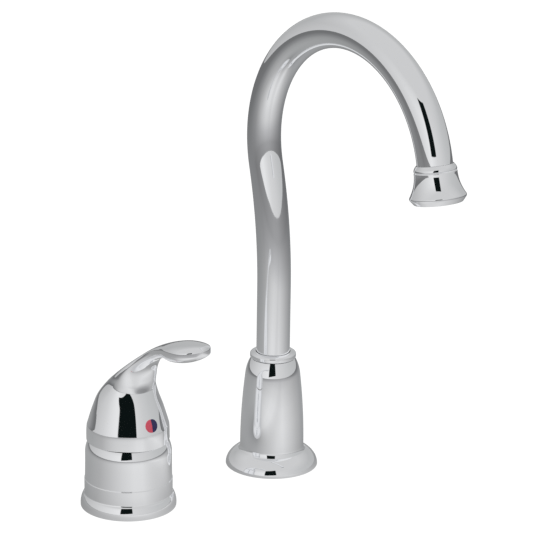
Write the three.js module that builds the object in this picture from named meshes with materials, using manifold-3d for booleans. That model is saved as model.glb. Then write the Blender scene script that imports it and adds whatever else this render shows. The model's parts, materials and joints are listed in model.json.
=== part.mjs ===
// A two-hole bar tap: a high-arc gooseneck spout that swivels, and beside it a single-lever valve.
// Millimetres, +Z up. The origin is on the spout's axis at the top of the deck, and the spout reaches out to
// -Y. The valve's axis stands HOLE_SPACING to the user's left (-X), and its lever points as the spout does.
import * as THREE from "three";
import { mergeVertices } from "three/addons/utils/BufferGeometryUtils.js";
import Module from "manifold-3d";

// ---------------------------------------------------------------- driving dimensions
const HOLE_SPACING = 101.6; // 4 in between the two deck holes
const DECK_THICKNESS = 20; // what the two nuts clamp
const GAP = 0.3; // between pieces that touch
const RUN = 0.35; // round anything that turns or slides

const TUBE_R = 9.5; // 3/4 in spout tube
const TUBE_WALL = 1.2;
const RISER_TOP = 106; // the riser is straight up to here
const BACK_BEND_R = 287.9; // then it leans back gently
const BACK_BEND = 14.03; // degrees
const ARCH_R = 70.8; // and arches forward
const OUTLET_LEAN = 11; // degrees that the outlet points past straight down
const STUB = 6; // straight end of the tube inside the bell

const BASE_TOP = 63.5; // spout base, whose widths add up from the tube outwards
const SOCKET_PLAY = 0.7; // from the tube to the O-ring bore
const SWIVEL_LEDGE = 1.4; // what the swivel flange turns on
const POST_WALL = 1;
const BASE_BULK = 5.55; // from the post to the base's outside
const BASE_WALL = 1.9;
const BASE_DROP = 2.96; // how much the base narrows up to its shoulder
const FOOT_REACH = 8.15; // how far its foot stands out
const FOOT_WALL = 3.1; // of both feet, where they stand on the deck
const COLLAR_REACH = 3.55; // from the tube to the collar's edge
const COLLAR_HEIGHT = 3.8;
const SPOUT_SHANK_R = 10.4; // 1/2 in pipe thread
const SPOUT_SHANK_WALL = 4;
const SPOUT_SHANK_LENGTH = 75;

const BELL_FLARE = 5.6; // how much wider the outlet bell gets than the tube
const BELL_NECK = 1.9;
const BELL_LENGTH = 20.3;
const AERATOR_INSET = 4.2; // from the bell's widest part in to the aerator
const AERATOR_WALL = 1.3;

const CARTRIDGE_R = 12.3; // valve, whose widths add up from the cartridge outwards
const NUT_WALL = 3.7; // of the retainer nut round the cartridge
const NUT_FLANGE = 2.9;
const BODY_WALL = 3.5; // of the valve's body round the nut
const CASING_ROOM = 2.3; // between body and casing
const CASING_WALL = 2.5;
const CASING_STEP = 15.8; // height of the faint step in the casing
const VALVE_FOOT_REACH = 2.15;
const VALVE_TOP = 36.1;
const STEM_R = 4;
const SUPPLY_R = 4.76; // 3/8 in copper tube
const SUPPLY_WALL = 0.9;
const SUPPLY_WEB = 2.35; // least metal between two of the three sockets
const SUPPLY_MARGIN = 0.84; // and between a socket and the shank's groove
const SUPPLY_TAIL = 32; // how far the tubes reach below the shank
const VALVE_SHANK_WALL = 2.4;
const VALVE_SHANK_LENGTH = 58;

const SKIRT_INSET = 1.2; // how much narrower the handle's skirt is than the casing
const SKIRT_LIFT = 0.8; // and how far it stands above it
const SHELL_WALL = 1.8;
const HINGE_ROOM = 4.1; // the handle tilts about a pin this far in from its skirt's inside
const HINGE_LIFT = 4.9; // and this far above the casing
const LIFT_LIMIT = 16; // degrees
const LEVER_REACH = 65.8; // from the valve's axis to the lever's tip
const EDGE_THICKNESS = 1.6; // of the lever
const BUTTON_R = 3.9;
const BUTTON_DEPTH = 3.5;
const BUTTON_LIFT = 15.1; // above the skirt's edge
const BUTTON_TILT = 17; // degrees that the button looks up

// ---------------------------------------------------------------- sizes that follow from them
const SOCKET_R = TUBE_R + SOCKET_PLAY;
const SOCKET_TOP_R = SOCKET_R + SWIVEL_LEDGE; // wider bore for the swivel flange and the collar
const POST_R = SOCKET_TOP_R + POST_WALL;
const BASE_BODY_R = POST_R + BASE_BULK;
const BASE_R = BASE_BODY_R + FOOT_REACH;
const COLLAR_R = TUBE_R + COLLAR_REACH;
const SPOUT_BORE = SPOUT_SHANK_R - SPOUT_SHANK_WALL;
const BELL_R = TUBE_R + BELL_FLARE;
const AERATOR_R = BELL_R - AERATOR_INSET;

const NUT_R = CARTRIDGE_R + NUT_WALL;
const NUT_FLANGE_R = NUT_R + NUT_FLANGE;
const NUT_BORE = CARTRIDGE_R - 1.8;
const NECK_R = NUT_BORE - GAP; // of the cartridge's sleeve above the nut
const VALVE_BODY_R = NUT_R + BODY_WALL;
const VALVE_R = VALVE_BODY_R + CASING_ROOM + CASING_WALL;
const VALVE_FOOT_R = VALVE_R + VALVE_FOOT_REACH;
const SUPPLY_OFFSET = (SUPPLY_R + GAP + SUPPLY_WEB / 2) / Math.sin(Math.PI / 3);
const VALVE_SHANK_IN = SUPPLY_OFFSET + SUPPLY_R + SUPPLY_MARGIN + 2 * GAP;
const VALVE_SHANK_R = VALVE_SHANK_IN + VALVE_SHANK_WALL;

const SKIRT_R = VALVE_R - SKIRT_INSET;
const SKIRT_BOTTOM = VALVE_TOP + SKIRT_LIFT;
const HINGE_BACK = SKIRT_R - SHELL_WALL - HINGE_ROOM; // behind the valve's axis
const HINGE_Z = VALVE_TOP + HINGE_LIFT;
const BUTTON_Z = SKIRT_BOTTOM + BUTTON_LIFT;
const BUTTON_FRONT = SKIRT_R - 1.75; // the handle's own radius at that height

const wasm = await Module();
wasm.setup();

// ---------------------------------------------------------------- finishes
const finish = (color, metalness, roughness) =>
  new THREE.MeshStandardMaterial({ color, metalness, roughness });
const CHROME = finish(0xd3d6d8, 1, 0.06);
const BRASS = finish(0xb99a54, 1, 0.35);
const STEEL = finish(0x9fa3a6, 1, 0.3);
const COPPER = finish(0xb87350, 1, 0.35);
const RUBBER = finish(0x1b1b1d, 0, 0.7);
const NYLON = finish(0xdedcd4, 0, 0.5);
const BUTTON = finish(0xc5485a, 0, 0.3);

// ---------------------------------------------------------------- shape helpers
const rad = THREE.MathUtils.degToRad;

// A closed geometry as a solid that can be joined and cut.
function solidOf(geometry) {
  const bare = geometry.clone();
  bare.deleteAttribute("normal");
  bare.deleteAttribute("uv");
  const merged = mergeVertices(bare, 1e-4);
  return new wasm.Manifold(
    new wasm.Mesh({
      numProp: 3,
      vertProperties: merged.attributes.position.array,
      triVerts: new Uint32Array(merged.index.array),
    }),
  );
}

function geometryOf(solid) {
  const mesh = solid.getMesh();
  const geometry = new THREE.BufferGeometry();
  geometry.setAttribute("position", new THREE.BufferAttribute(mesh.vertProperties, 3));
  geometry.setIndex(new THREE.BufferAttribute(mesh.triVerts, 1));
  geometry.computeVertexNormals();
  return geometry;
}

const cut = (body, ...tools) =>
  geometryOf(tools.reduce((solid, tool) => solid.subtract(solidOf(tool)), solidOf(body)));
const join = (body, ...more) =>
  geometryOf(more.reduce((solid, extra) => solid.add(solidOf(extra)), solidOf(body)));

// A profile of [radius, height] points, walked up the outside and down the inside, turned about Z.
function turned(profile, sides = 16) {
  const points = profile.map(([r, z]) => new THREE.Vector2(r, z));
  const first = points[0];
  if (first.x > 0 || points.at(-1).x > 0) points.push(first.clone());
  return new THREE.LatheGeometry(points, sides).rotateX(Math.PI / 2);
}

// Points of an elliptical arc in a profile, angles in degrees from the outward direction.
function arc(centreR, centreZ, radiusR, radiusZ, from, to, steps) {
  return Array.from({ length: steps + 1 }, (_, i) => {
    const angle = rad(from + ((to - from) * i) / steps);
    return [centreR + radiusR * Math.cos(angle), centreZ + radiusZ * Math.sin(angle)];
  });
}

const washer = (inner, outer, low, high, sides = 16) =>
  turned([[outer, low], [outer, high], [inner, high], [inner, low]], sides);
const rod = (radius, low, high, sides = 12) =>
  new THREE.CylinderGeometry(radius, radius, high - low, sides)
    .rotateX(Math.PI / 2)
    .translate(0, 0, (low + high) / 2);
const oRing = (radius, section, z) =>
  new THREE.TorusGeometry(radius, section, 4, 16).translate(0, 0, z);
// A box from its limits to the right, to the front (towards -Y) and up.
const block = ([right0, right1], [front0, front1], [low, high]) =>
  new THREE.BoxGeometry(right1 - right0, front1 - front0, high - low).translate(
    (right0 + right1) / 2,
    -(front0 + front1) / 2,
    (low + high) / 2,
  );

// A hexagonal nut or nut head with a round bore.
function hexagon(acrossFlats, bore, low, high) {
  const corner = acrossFlats / Math.sqrt(3);
  const outline = new THREE.Shape(
    Array.from({ length: 6 }, (_, i) => {
      const angle = (i * Math.PI) / 3;
      return new THREE.Vector2(corner * Math.cos(angle), corner * Math.sin(angle));
    }),
  );
  outline.holes.push(new THREE.Path().absarc(0, 0, bore, 0, 2 * Math.PI, true));
  return new THREE.ExtrudeGeometry(outline, {
    depth: high - low,
    bevelEnabled: false,
    curveSegments: 8,
  }).translate(0, 0, low);
}

// A closed skin over rings of points that run anticlockwise seen from the last ring. The two ends are capped,
// or the last ring joins the first.
function skin(rings, looped = false) {
  const count = rings[0].length;
  const points = rings.flat();
  const triangles = [];
  const bands = looped ? rings.length : rings.length - 1;
  for (let i = 0; i < bands; i++) {
    const here = i * count;
    const next = ((i + 1) % rings.length) * count;
    for (let j = 0; j < count; j++) {
      const k = (j + 1) % count;
      triangles.push(here + j, here + k, next + k, here + j, next + k, next + j);
    }
  }
  for (const last of looped ? [] : [false, true]) {
    const start = last ? (rings.length - 1) * count : 0;
    const ring = points.slice(start, start + count);
    const hub = points.push(ring.reduce((sum, p) => sum.add(p), new THREE.Vector3()).divideScalar(count)) - 1;
    for (let j = 0; j < count; j++) {
      const pair = [start + j, start + ((j + 1) % count)];
      triangles.push(hub, ...(last ? pair : pair.reverse()));
    }
  }
  const geometry = new THREE.BufferGeometry().setFromPoints(points).setIndex(triangles);
  geometry.computeVertexNormals();
  return geometry;
}

const tap = new THREE.Group();
function add(parent, name, geometry, material) {
  const mesh = new THREE.Mesh(geometry, material);
  mesh.name = name;
  parent.add(mesh);
}

// ---------------------------------------------------------------- spout centreline
// Straight riser, a gentle lean back, then the arch. Each stop has its distance to the front, its height and
// its heading in radians above the forward direction.
const ARCH_START = rad(90 + BACK_BEND);
const ARCH_END = rad(OUTLET_LEAN - 90);
const leanTop = {
  front: -BACK_BEND_R * (1 - Math.cos(rad(BACK_BEND))),
  z: RISER_TOP + BACK_BEND_R * Math.sin(rad(BACK_BEND)),
};
const archCentre = {
  front: leanTop.front + ARCH_R * Math.sin(ARCH_START),
  z: leanTop.z - ARCH_R * Math.cos(ARCH_START),
};
const onArch = (heading) => ({
  front: archCentre.front - ARCH_R * Math.sin(heading),
  z: archCentre.z + ARCH_R * Math.cos(heading),
  heading,
});
const outlet = onArch(ARCH_END);

function centreline(startZ, stubLength, archSteps, leanSteps) {
  const stops = [{ front: 0, z: startZ, heading: Math.PI / 2 }];
  for (let i = 0; i <= leanSteps; i++) {
    const bend = rad((BACK_BEND * i) / leanSteps);
    stops.push({
      front: -BACK_BEND_R * (1 - Math.cos(bend)),
      z: RISER_TOP + BACK_BEND_R * Math.sin(bend),
      heading: Math.PI / 2 + bend,
    });
  }
  for (let i = 1; i <= archSteps; i++) {
    stops.push(onArch(ARCH_START + ((ARCH_END - ARCH_START) * i) / archSteps));
  }
  stops.push({
    front: outlet.front + stubLength * Math.cos(ARCH_END),
    z: outlet.z + stubLength * Math.sin(ARCH_END),
    heading: ARCH_END,
  });
  return stops;
}

function ringAt({ front, z, heading }, radius, sides) {
  return Array.from({ length: sides }, (_, j) => {
    const angle = (2 * Math.PI * j) / sides;
    const side = radius * Math.cos(angle);
    const out = radius * Math.sin(angle);
    return new THREE.Vector3(side, -front + out * Math.sin(heading), z + out * Math.cos(heading));
  });
}

// ---------------------------------------------------------------- spout base and post
const FOOT_RIM = 2; // height of the foot's upright rim
const GASKET = 1.5;
const FLANGE_LOW = GASKET + GAP;
const FLANGE_TOP = 4.6;
const FOOT_BORE = BASE_R - FOOT_WALL;
const FLANGE_R = FOOT_BORE - 2 * GAP;
const BODY_LOW = 12; // the base's body narrows from here
const BODY_HIGH = BASE_TOP - 5.5; // to here
const POST_TOP = BASE_TOP - 1.6;
const SOCKET_STEP = BASE_TOP - 19.1;
const SOCKET_FLOOR = BASE_TOP - 39.5;

const bodyHeight = (share) => BODY_LOW + share * (BODY_HIGH - BODY_LOW);
const baseRadius = (share) => BASE_BODY_R - BASE_DROP * share ** 2;

function spoutBase() {
  const shoulderR = baseRadius(1);
  const lipR = SOCKET_TOP_R + 0.4;
  const outside = [0, 0.33, 0.66, 0.98].map((share) => [baseRadius(share), bodyHeight(share)]);
  const inside = [0.78, 0.3].map((share) => [baseRadius(share) - BASE_WALL, bodyHeight(share)]);
  return turned(
    [
      [BASE_R, 0],
      ...arc(BASE_BODY_R + 0.15, FOOT_RIM, FOOT_REACH - 0.15, 7.9, 0, 82, 4),
      [BASE_BODY_R + 0.15, 10.4],
      ...outside,
      ...arc(shoulderR - 3, BASE_TOP - 6.7, 3, 7.2, 25, 68, 3),
      [lipR, BASE_TOP],
      [lipR, POST_TOP + GAP],
      [POST_R + GAP, POST_TOP + GAP],
      [POST_R + GAP, BASE_TOP - 6.5],
      ...inside,
      [BASE_BODY_R - BASE_WALL, BODY_LOW - 4],
      [FOOT_BORE, FLANGE_TOP + GAP],
      [FOOT_BORE, 0],
    ],
    24,
  );
}

function spoutPost() {
  return turned([
    [SPOUT_BORE, -SPOUT_SHANK_LENGTH],
    [SPOUT_SHANK_R, -SPOUT_SHANK_LENGTH],
    [SPOUT_SHANK_R, FLANGE_LOW],
    [FLANGE_R, FLANGE_LOW],
    [FLANGE_R, FLANGE_TOP],
    [POST_R + 1, FLANGE_TOP + 2],
    [POST_R, FLANGE_TOP + 4.5],
    [POST_R, POST_TOP],
    [SOCKET_TOP_R, POST_TOP],
    [SOCKET_TOP_R, SOCKET_STEP],
    [SOCKET_R, SOCKET_STEP],
    [SOCKET_R, SOCKET_FLOOR],
    [SPOUT_BORE, SOCKET_FLOOR - 2],
  ]);
}

// The brass hub soldered round the foot of the tube: a swivel flange above, two O-ring grooves below.
const GLIDE = 1.2; // thickness of the glide washers above and below the flange
const HUB_R = SOCKET_R - GAP;
const HUB_BORE = HUB_R - 3.3;
const HUB_LOW = SOCKET_FLOOR + 2;
const HUB_CUP = BASE_TOP - 15.5; // the tube's foot stands here
const HUB_TOP = BASE_TOP - 9.3;
const HUB_FLANGE_LOW = SOCKET_STEP + GLIDE + 2 * GAP;
const HUB_RINGS = [HUB_LOW + 5, HUB_LOW + 12.4];
const O_RING = 0.9;
const COLLAR_LOW = HUB_TOP + GLIDE + 2 * GAP;

function spoutCollar() {
  const low = BASE_TOP + GAP;
  const half = COLLAR_HEIGHT / 2;
  return turned(
    [
      [SOCKET_TOP_R - 2 * GAP, COLLAR_LOW],
      [SOCKET_TOP_R - 2 * GAP, low],
      [COLLAR_R - 0.25, low],
      [COLLAR_R, low + 0.3],
      ...arc(TUBE_R + RUN, low + half, COLLAR_REACH - RUN, half, 0, 90, 4),
      [TUBE_R + RUN, COLLAR_LOW],
    ],
    24,
  );
}

function grooved(radius, floor, heights, halfWidth) {
  return heights.flatMap((z) => [
    [radius, z - halfWidth],
    [floor, z - halfWidth],
    [floor, z + halfWidth],
    [radius, z + halfWidth],
  ]);
}

function spoutHub() {
  const cupR = TUBE_R + GAP;
  return turned([
    [HUB_R, HUB_LOW],
    ...grooved(HUB_R, HUB_R - 2.1, HUB_RINGS, 1.25),
    [HUB_R, HUB_FLANGE_LOW],
    [SOCKET_TOP_R - RUN, HUB_FLANGE_LOW],
    [SOCKET_TOP_R - RUN, HUB_TOP],
    [cupR, HUB_TOP],
    [cupR, HUB_CUP],
    [HUB_BORE, HUB_CUP],
    [HUB_BORE, HUB_LOW],
  ]);
}

function buildSpoutFixed() {
  const group = new THREE.Group();
  tap.add(group);
  add(group, "spout_base", spoutBase(), CHROME);
  add(group, "spout_collar", spoutCollar(), CHROME);
  add(group, "spout_post", spoutPost(), BRASS);
  add(group, "spout_gasket", washer(SPOUT_SHANK_R + GAP, FLANGE_R, 0, GASKET), RUBBER);
  const glideR = SOCKET_TOP_R - GAP;
  const ledge = SOCKET_STEP + GAP;
  add(group, "lower_glide_washer", washer(HUB_R + GAP, glideR, ledge, ledge + GLIDE), NYLON);
  add(group, "upper_glide_washer", washer(TUBE_R + RUN, glideR, HUB_TOP + GAP, COLLAR_LOW - GAP), NYLON);
  clampUnderDeck(group, "spout", SPOUT_SHANK_R, 11.6, 4.6);
  add(group, "spout_inlet_nipple", inletNipple(), BRASS);
}

// Spigot, shoulder and two barbs, with the bore running through them.
function inletNipple() {
  const seat = -SPOUT_SHANK_LENGTH;
  const spigot = SPOUT_BORE - GAP;
  const barbs = [17, 12, 7].flatMap((drop) => [[spigot - 0.1, seat - drop], [spigot - 0.9, seat - drop]]);
  const shoulder = SPOUT_SHANK_R - 1;
  return turned([
    ...barbs.slice(1),
    [spigot - 0.9, seat - 4],
    [shoulder, seat - 4],
    [shoulder, seat - GAP],
    [spigot, seat - GAP],
    [spigot, seat + 8],
    [spigot - 2.5, seat + 8],
    [spigot - 2.5, seat - 17],
  ], 12);
}

// Rubber washer, steel washer and nut that pull a shank down from under the deck.
function clampUnderDeck(group, name, shankR, washerReach, nutWall) {
  const rubberLow = -DECK_THICKNESS - 1.8;
  const steelLow = rubberLow - GAP - 1.5;
  const nutHigh = steelLow - GAP;
  const bore = shankR + GAP;
  const outer = shankR + washerReach;
  add(group, name + "_rubber_washer", washer(bore, outer, rubberLow, -DECK_THICKNESS), RUBBER);
  add(group, name + "_steel_washer", washer(bore, outer, steelLow, rubberLow - GAP), STEEL);
  const nut = hexagon(2 * (shankR + nutWall), bore, nutHigh - 9, nutHigh);
  add(group, name + "_mounting_nut", nut, BRASS);
}

// ---------------------------------------------------------------- swivelling spout
const TUBE_SIDES = 16;

function spoutTube() {
  const stops = centreline(HUB_CUP + GAP, STUB, 15, 3);
  const outer = stops.map((stop) => ringAt(stop, TUBE_R, TUBE_SIDES));
  const inner = stops.map((stop) => ringAt(stop, TUBE_R - TUBE_WALL, TUBE_SIDES));
  return skin([...outer, ...inner.reverse()], true);
}

// The outlet is built about its own axis: height 0 is where the bell meets the tube, and it hangs below.
const AERATOR_SEAT = -STUB - 3.2;
const AERATOR_WASHER = 1.4;

function outletBell() {
  const neck = TUBE_R + BELL_NECK;
  const flareLow = BELL_LENGTH - 3.8;
  const flare = [0.96, 0.8, 0.6, 0.4, 0.16].map((share) => [
    neck + (BELL_FLARE - BELL_NECK - 0.1) * share ** 2.1,
    -4 - share * (flareLow - 4),
  ]);
  return turned(
    [
      [AERATOR_R + GAP, AERATOR_SEAT],
      [AERATOR_R + GAP, -BELL_LENGTH],
      [AERATOR_R + 1.9, -BELL_LENGTH],
      [AERATOR_R + 2.3, -BELL_LENGTH + 0.3],
      [BELL_R - 0.35, -BELL_LENGTH + 2.6],
      [BELL_R, -BELL_LENGTH + 3.4],
      ...flare,
      [neck + 0.05, -3.9],
      [neck - 0.35, -3.5],
      [neck - 0.05, -3.1],
      [neck - 0.15, -2],
      [TUBE_R + 0.9, 0],
      [TUBE_R + GAP, 0],
      [TUBE_R + GAP, -STUB - GAP],
      [TUBE_R - TUBE_WALL, -STUB - GAP],
      [TUBE_R - TUBE_WALL, AERATOR_SEAT],
    ],
    20,
  );
}

// A threaded ring that carries the screen on its inner lip.
function aeratorHousing(lipTop) {
  const bore = AERATOR_R - AERATOR_WALL;
  const low = -BELL_LENGTH + 0.4;
  const high = AERATOR_SEAT - AERATOR_WASHER - 2 * GAP;
  return turned([
    [AERATOR_R, low],
    [AERATOR_R, high],
    [bore, high],
    [bore, lipTop],
    [bore - 0.9, lipTop],
    [bore - 0.9, low],
  ]);
}

// A disc with one hole in the middle and rings of holes round it, each [count, share of the radius].
function perforated(radius, low, high, holeR, rings) {
  const holes = [rod(holeR, low - 1, high + 1, 6)];
  for (const [count, share] of rings) {
    for (let i = 0; i < count; i++) {
      const angle = (2 * Math.PI * i) / count;
      const reach = share * radius;
      holes.push(holes[0].clone().translate(reach * Math.cos(angle), reach * Math.sin(angle), 0));
    }
  }
  return cut(rod(radius, low, high), ...holes);
}

function buildSpoutTurning() {
  const group = new THREE.Group();
  tap.add(group);
  add(group, "spout_tube", spoutTube(), CHROME);
  add(group, "spout_hub", spoutHub(), BRASS);
  const [lowerRing, upperRing] = HUB_RINGS.map((z) => oRing(HUB_R - 0.95, O_RING, z));
  add(group, "hub_o_ring_lower", lowerRing, RUBBER);
  add(group, "hub_o_ring_upper", upperRing, RUBBER);
  const end = new THREE.Group();
  end.position.set(0, -outlet.front, outlet.z);
  end.rotation.x = -rad(OUTLET_LEAN);
  group.add(end);
  const lipTop = -BELL_LENGTH + 1.8;
  const discR = AERATOR_R - AERATOR_WALL - GAP;
  const washerTop = AERATOR_SEAT - GAP;
  const seal = washer(TUBE_R - TUBE_WALL, AERATOR_R, washerTop - AERATOR_WASHER, washerTop);
  const flowDisc = perforated(discR, lipTop + 1.5, lipTop + 4, 1.2, [[6, 0.59]]);
  const screen = perforated(discR, lipTop + GAP, lipTop + 1.2, 0.9, [[5, 0.4], [10, 0.77]]);
  add(end, "outlet_bell", outletBell(), CHROME);
  add(end, "aerator_washer", seal, RUBBER);
  add(end, "aerator_housing", aeratorHousing(lipTop), CHROME);
  add(end, "aerator_flow_disc", flowDisc, NYLON);
  add(end, "aerator_screen", screen, STEEL);
}

// ---------------------------------------------------------------- valve below the handle
const VALVE_FOOT_BORE = VALVE_FOOT_R - FOOT_WALL;
const VALVE_FLANGE_R = VALVE_FOOT_BORE - 2 * GAP;
const LIP_HIGH = VALVE_TOP - 1.3; // the casing's inner lip, which the nut's flange holds down
const LIP_LOW = VALVE_TOP - 2.7;
const NUT_HIGH = VALVE_TOP + 0.5;
const NUT_LOW = VALVE_TOP - 8.1;
const SEAT_Z = NUT_LOW - 2; // the cartridge's flange sits here
const CARTRIDGE_LOW = VALVE_TOP - 19.8;
const CARTRIDGE_RINGS = [CARTRIDGE_LOW + 2.1, CARTRIDGE_LOW + 8.3];
const RING_FLOOR = CARTRIDGE_R - 1.9; // of the grooves and of the clip's slot
const CLIP_Z = CARTRIDGE_LOW + 5.8;
const CLIP = 1.6; // thickness of the retaining clip
const CLIP_LEG = 2;
const CLIP_REACH = 9; // its legs end this far in front of the axis
const SNAP_LOW = VALVE_TOP + 3.9; // groove of the snap ring above the handle's pivot
const SNAP_HIGH = SNAP_LOW + 1.4;
const SHANK_HIGH = 8;
const SUPPLY_HIGH = CARTRIDGE_LOW - 4.3; // end of the supply sockets
const SUPPLY_SPOTS = { hot_inlet: 210, cold_inlet: 330, outlet: 90 }; // degrees round the axis

function valveCasing() {
  const lipR = NUT_R + 1;
  const boreR = NUT_FLANGE_R + GAP;
  return turned(
    [
      [VALVE_FOOT_R, 0],
      ...arc(VALVE_R + 0.1, 3.3, VALVE_FOOT_REACH - 0.1, 4.7, 0, 84, 3),
      [VALVE_R, 8.6],
      [VALVE_R, CASING_STEP],
      [VALVE_R - 0.3, CASING_STEP + 0.4],
      [VALVE_R - 0.45, VALVE_TOP - 11.1],
      [VALVE_R - 0.9, VALVE_TOP - 4.1],
      [VALVE_R - 1.3, VALVE_TOP - 1.7],
      [VALVE_R - 1.9, VALVE_TOP - 0.6],
      [VALVE_R - 2.7, VALVE_TOP],
      [boreR, VALVE_TOP],
      [boreR, LIP_HIGH],
      [lipR, LIP_HIGH],
      [lipR, LIP_LOW],
      [VALVE_R - CASING_WALL, LIP_LOW],
      [VALVE_R - CASING_WALL, FLANGE_TOP + GAP],
      [VALVE_FOOT_BORE, FLANGE_TOP + GAP],
      [VALVE_FOOT_BORE, 0],
    ],
    24,
  );
}

// The clip is a square-cut U pushed in from behind, with a leg on each side of the cartridge.
function clipShape(clearance) {
  const inner = RING_FLOOR - clearance;
  const outer = RING_FLOOR + CLIP_LEG + clearance;
  const height = [CLIP_Z - CLIP / 2 - clearance, CLIP_Z + CLIP / 2 + clearance];
  const back = -NUT_R - 0.2;
  const legs = [[-outer, -inner], [inner, outer]].map((side) =>
    block(side, [back, CLIP_REACH + clearance], height),
  );
  return join(block([-outer, outer], [back - clearance, back + 1.8 + clearance], height), ...legs);
}

function valveBody() {
  const grooveIn = VALVE_SHANK_IN - GAP;
  const body = turned([
    [0, FLANGE_LOW],
    [grooveIn, FLANGE_LOW],
    [grooveIn, SHANK_HIGH],
    [VALVE_SHANK_R + GAP, SHANK_HIGH],
    [VALVE_SHANK_R + GAP, FLANGE_LOW],
    [VALVE_FLANGE_R, FLANGE_LOW],
    [VALVE_FLANGE_R, FLANGE_TOP],
    [VALVE_BODY_R, FLANGE_TOP],
    [VALVE_BODY_R, LIP_LOW - GAP],
    [NUT_R + GAP, LIP_LOW - GAP],
    [NUT_R + GAP, SEAT_Z],
    [CARTRIDGE_R + GAP, SEAT_Z],
    [CARTRIDGE_R + GAP, CARTRIDGE_LOW - GAP],
    [0, CARTRIDGE_LOW - GAP],
  ]);
  const sockets = Object.values(SUPPLY_SPOTS).flatMap((degrees) =>
    [rod(SUPPLY_R + GAP, 0, SUPPLY_HIGH), rod(1.8, SUPPLY_HIGH - 1, CARTRIDGE_LOW + 4, 6)].map((hole) =>
      hole.translate(SUPPLY_OFFSET, 0, 0).rotateZ(rad(degrees)),
    ),
  );
  const slotHeight = [CLIP_Z - CLIP / 2 - GAP, CLIP_Z + CLIP / 2 + GAP];
  const slotHalf = RING_FLOOR + CLIP_LEG + GAP;
  const wayIn = block([-slotHalf, slotHalf], [-VALVE_BODY_R - 1, -NUT_R + 1], slotHeight);
  return cut(body, ...sockets, clipShape(GAP), wayIn);
}

function cartridge() {
  const neckTop = SNAP_HIGH + 0.8;
  const sleeve = turned([
    [CARTRIDGE_R, CARTRIDGE_LOW],
    ...grooved(CARTRIDGE_R, RING_FLOOR, CARTRIDGE_RINGS, 1.05),
    [CARTRIDGE_R, SEAT_Z + GAP],
    [NUT_R, SEAT_Z + GAP],
    [NUT_R, NUT_LOW - GAP],
    [NECK_R, NUT_LOW - GAP],
    [NECK_R, SNAP_LOW],
    [NECK_R - 1.1, SNAP_LOW],
    [NECK_R - 1.1, SNAP_HIGH],
    [NECK_R, SNAP_HIGH],
    [NECK_R - 0.4, neckTop],
    [STEM_R + RUN, neckTop],
    [STEM_R + RUN, CARTRIDGE_LOW],
  ]);
  return cut(sleeve, clipShape(GAP));
}

function retainerNut() {
  return turned([
    [NUT_R, NUT_LOW],
    [NUT_R, LIP_HIGH + GAP],
    [NUT_FLANGE_R, LIP_HIGH + GAP],
    [NUT_FLANGE_R, NUT_HIGH],
    [NUT_BORE, NUT_HIGH],
    [NUT_BORE, NUT_LOW],
  ]);
}

// An open ring sprung into the groove of the cartridge's neck.
function snapRing() {
  const ring = washer(NECK_R - 0.8, NECK_R + 2.2, SNAP_LOW + 0.2, SNAP_HIGH - 0.2);
  return cut(ring, block([-3, 3], [NECK_R - 6, NECK_R + 6], [SNAP_LOW - 1, SNAP_HIGH + 2]));
}

// A copper tube from its socket down through the shank, then splayed out to leave room for its fitting.
const SPLAY = 9.5;
const SUPPLY_END = -VALVE_SHANK_LENGTH - SUPPLY_TAIL;
function supplyTube(degrees) {
  const bendTop = -VALVE_SHANK_LENGTH - 2;
  const bendDrop = SUPPLY_TAIL - 14;
  const bend = [1, 0.7, 0.3, 0].map((share) => [
    (SPLAY * (1 - Math.cos(Math.PI * share))) / 2,
    bendTop - bendDrop * share,
  ]);
  const stops = [[SPLAY, SUPPLY_END], ...bend, [0, SUPPLY_HIGH - GAP]];
  const ring = ([out, z], radius) =>
    Array.from({ length: 8 }, (_, j) => {
      const angle = (2 * Math.PI * j) / 8;
      const x = SUPPLY_OFFSET + out + radius * Math.cos(angle);
      return new THREE.Vector3(x, radius * Math.sin(angle), z);
    });
  const outer = stops.map((stop) => ring(stop, SUPPLY_R));
  const inner = stops.map((stop) => ring(stop, SUPPLY_R - SUPPLY_WALL));
  return skin([...outer, ...inner.reverse()], true).rotateZ(rad(degrees));
}

function supplyFitting(degrees) {
  const seat = SUPPLY_END - GAP;
  const headTop = seat + 7.5;
  const cupR = SUPPLY_R + GAP;
  const head = hexagon(2 * (SUPPLY_R + 3.24), cupR, headTop - 8, headTop);
  const spigot = turned([
    [SUPPLY_R + 2.64, seat - 12],
    [SUPPLY_R + 2.64, headTop - 7],
    [cupR, headTop - 7],
    [cupR, seat],
    [SUPPLY_R - 1.56, seat],
    [SUPPLY_R - 1.56, seat - 12],
  ], 12);
  return join(head, spigot).translate(SUPPLY_OFFSET + SPLAY, 0, 0).rotateZ(rad(degrees));
}

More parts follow.
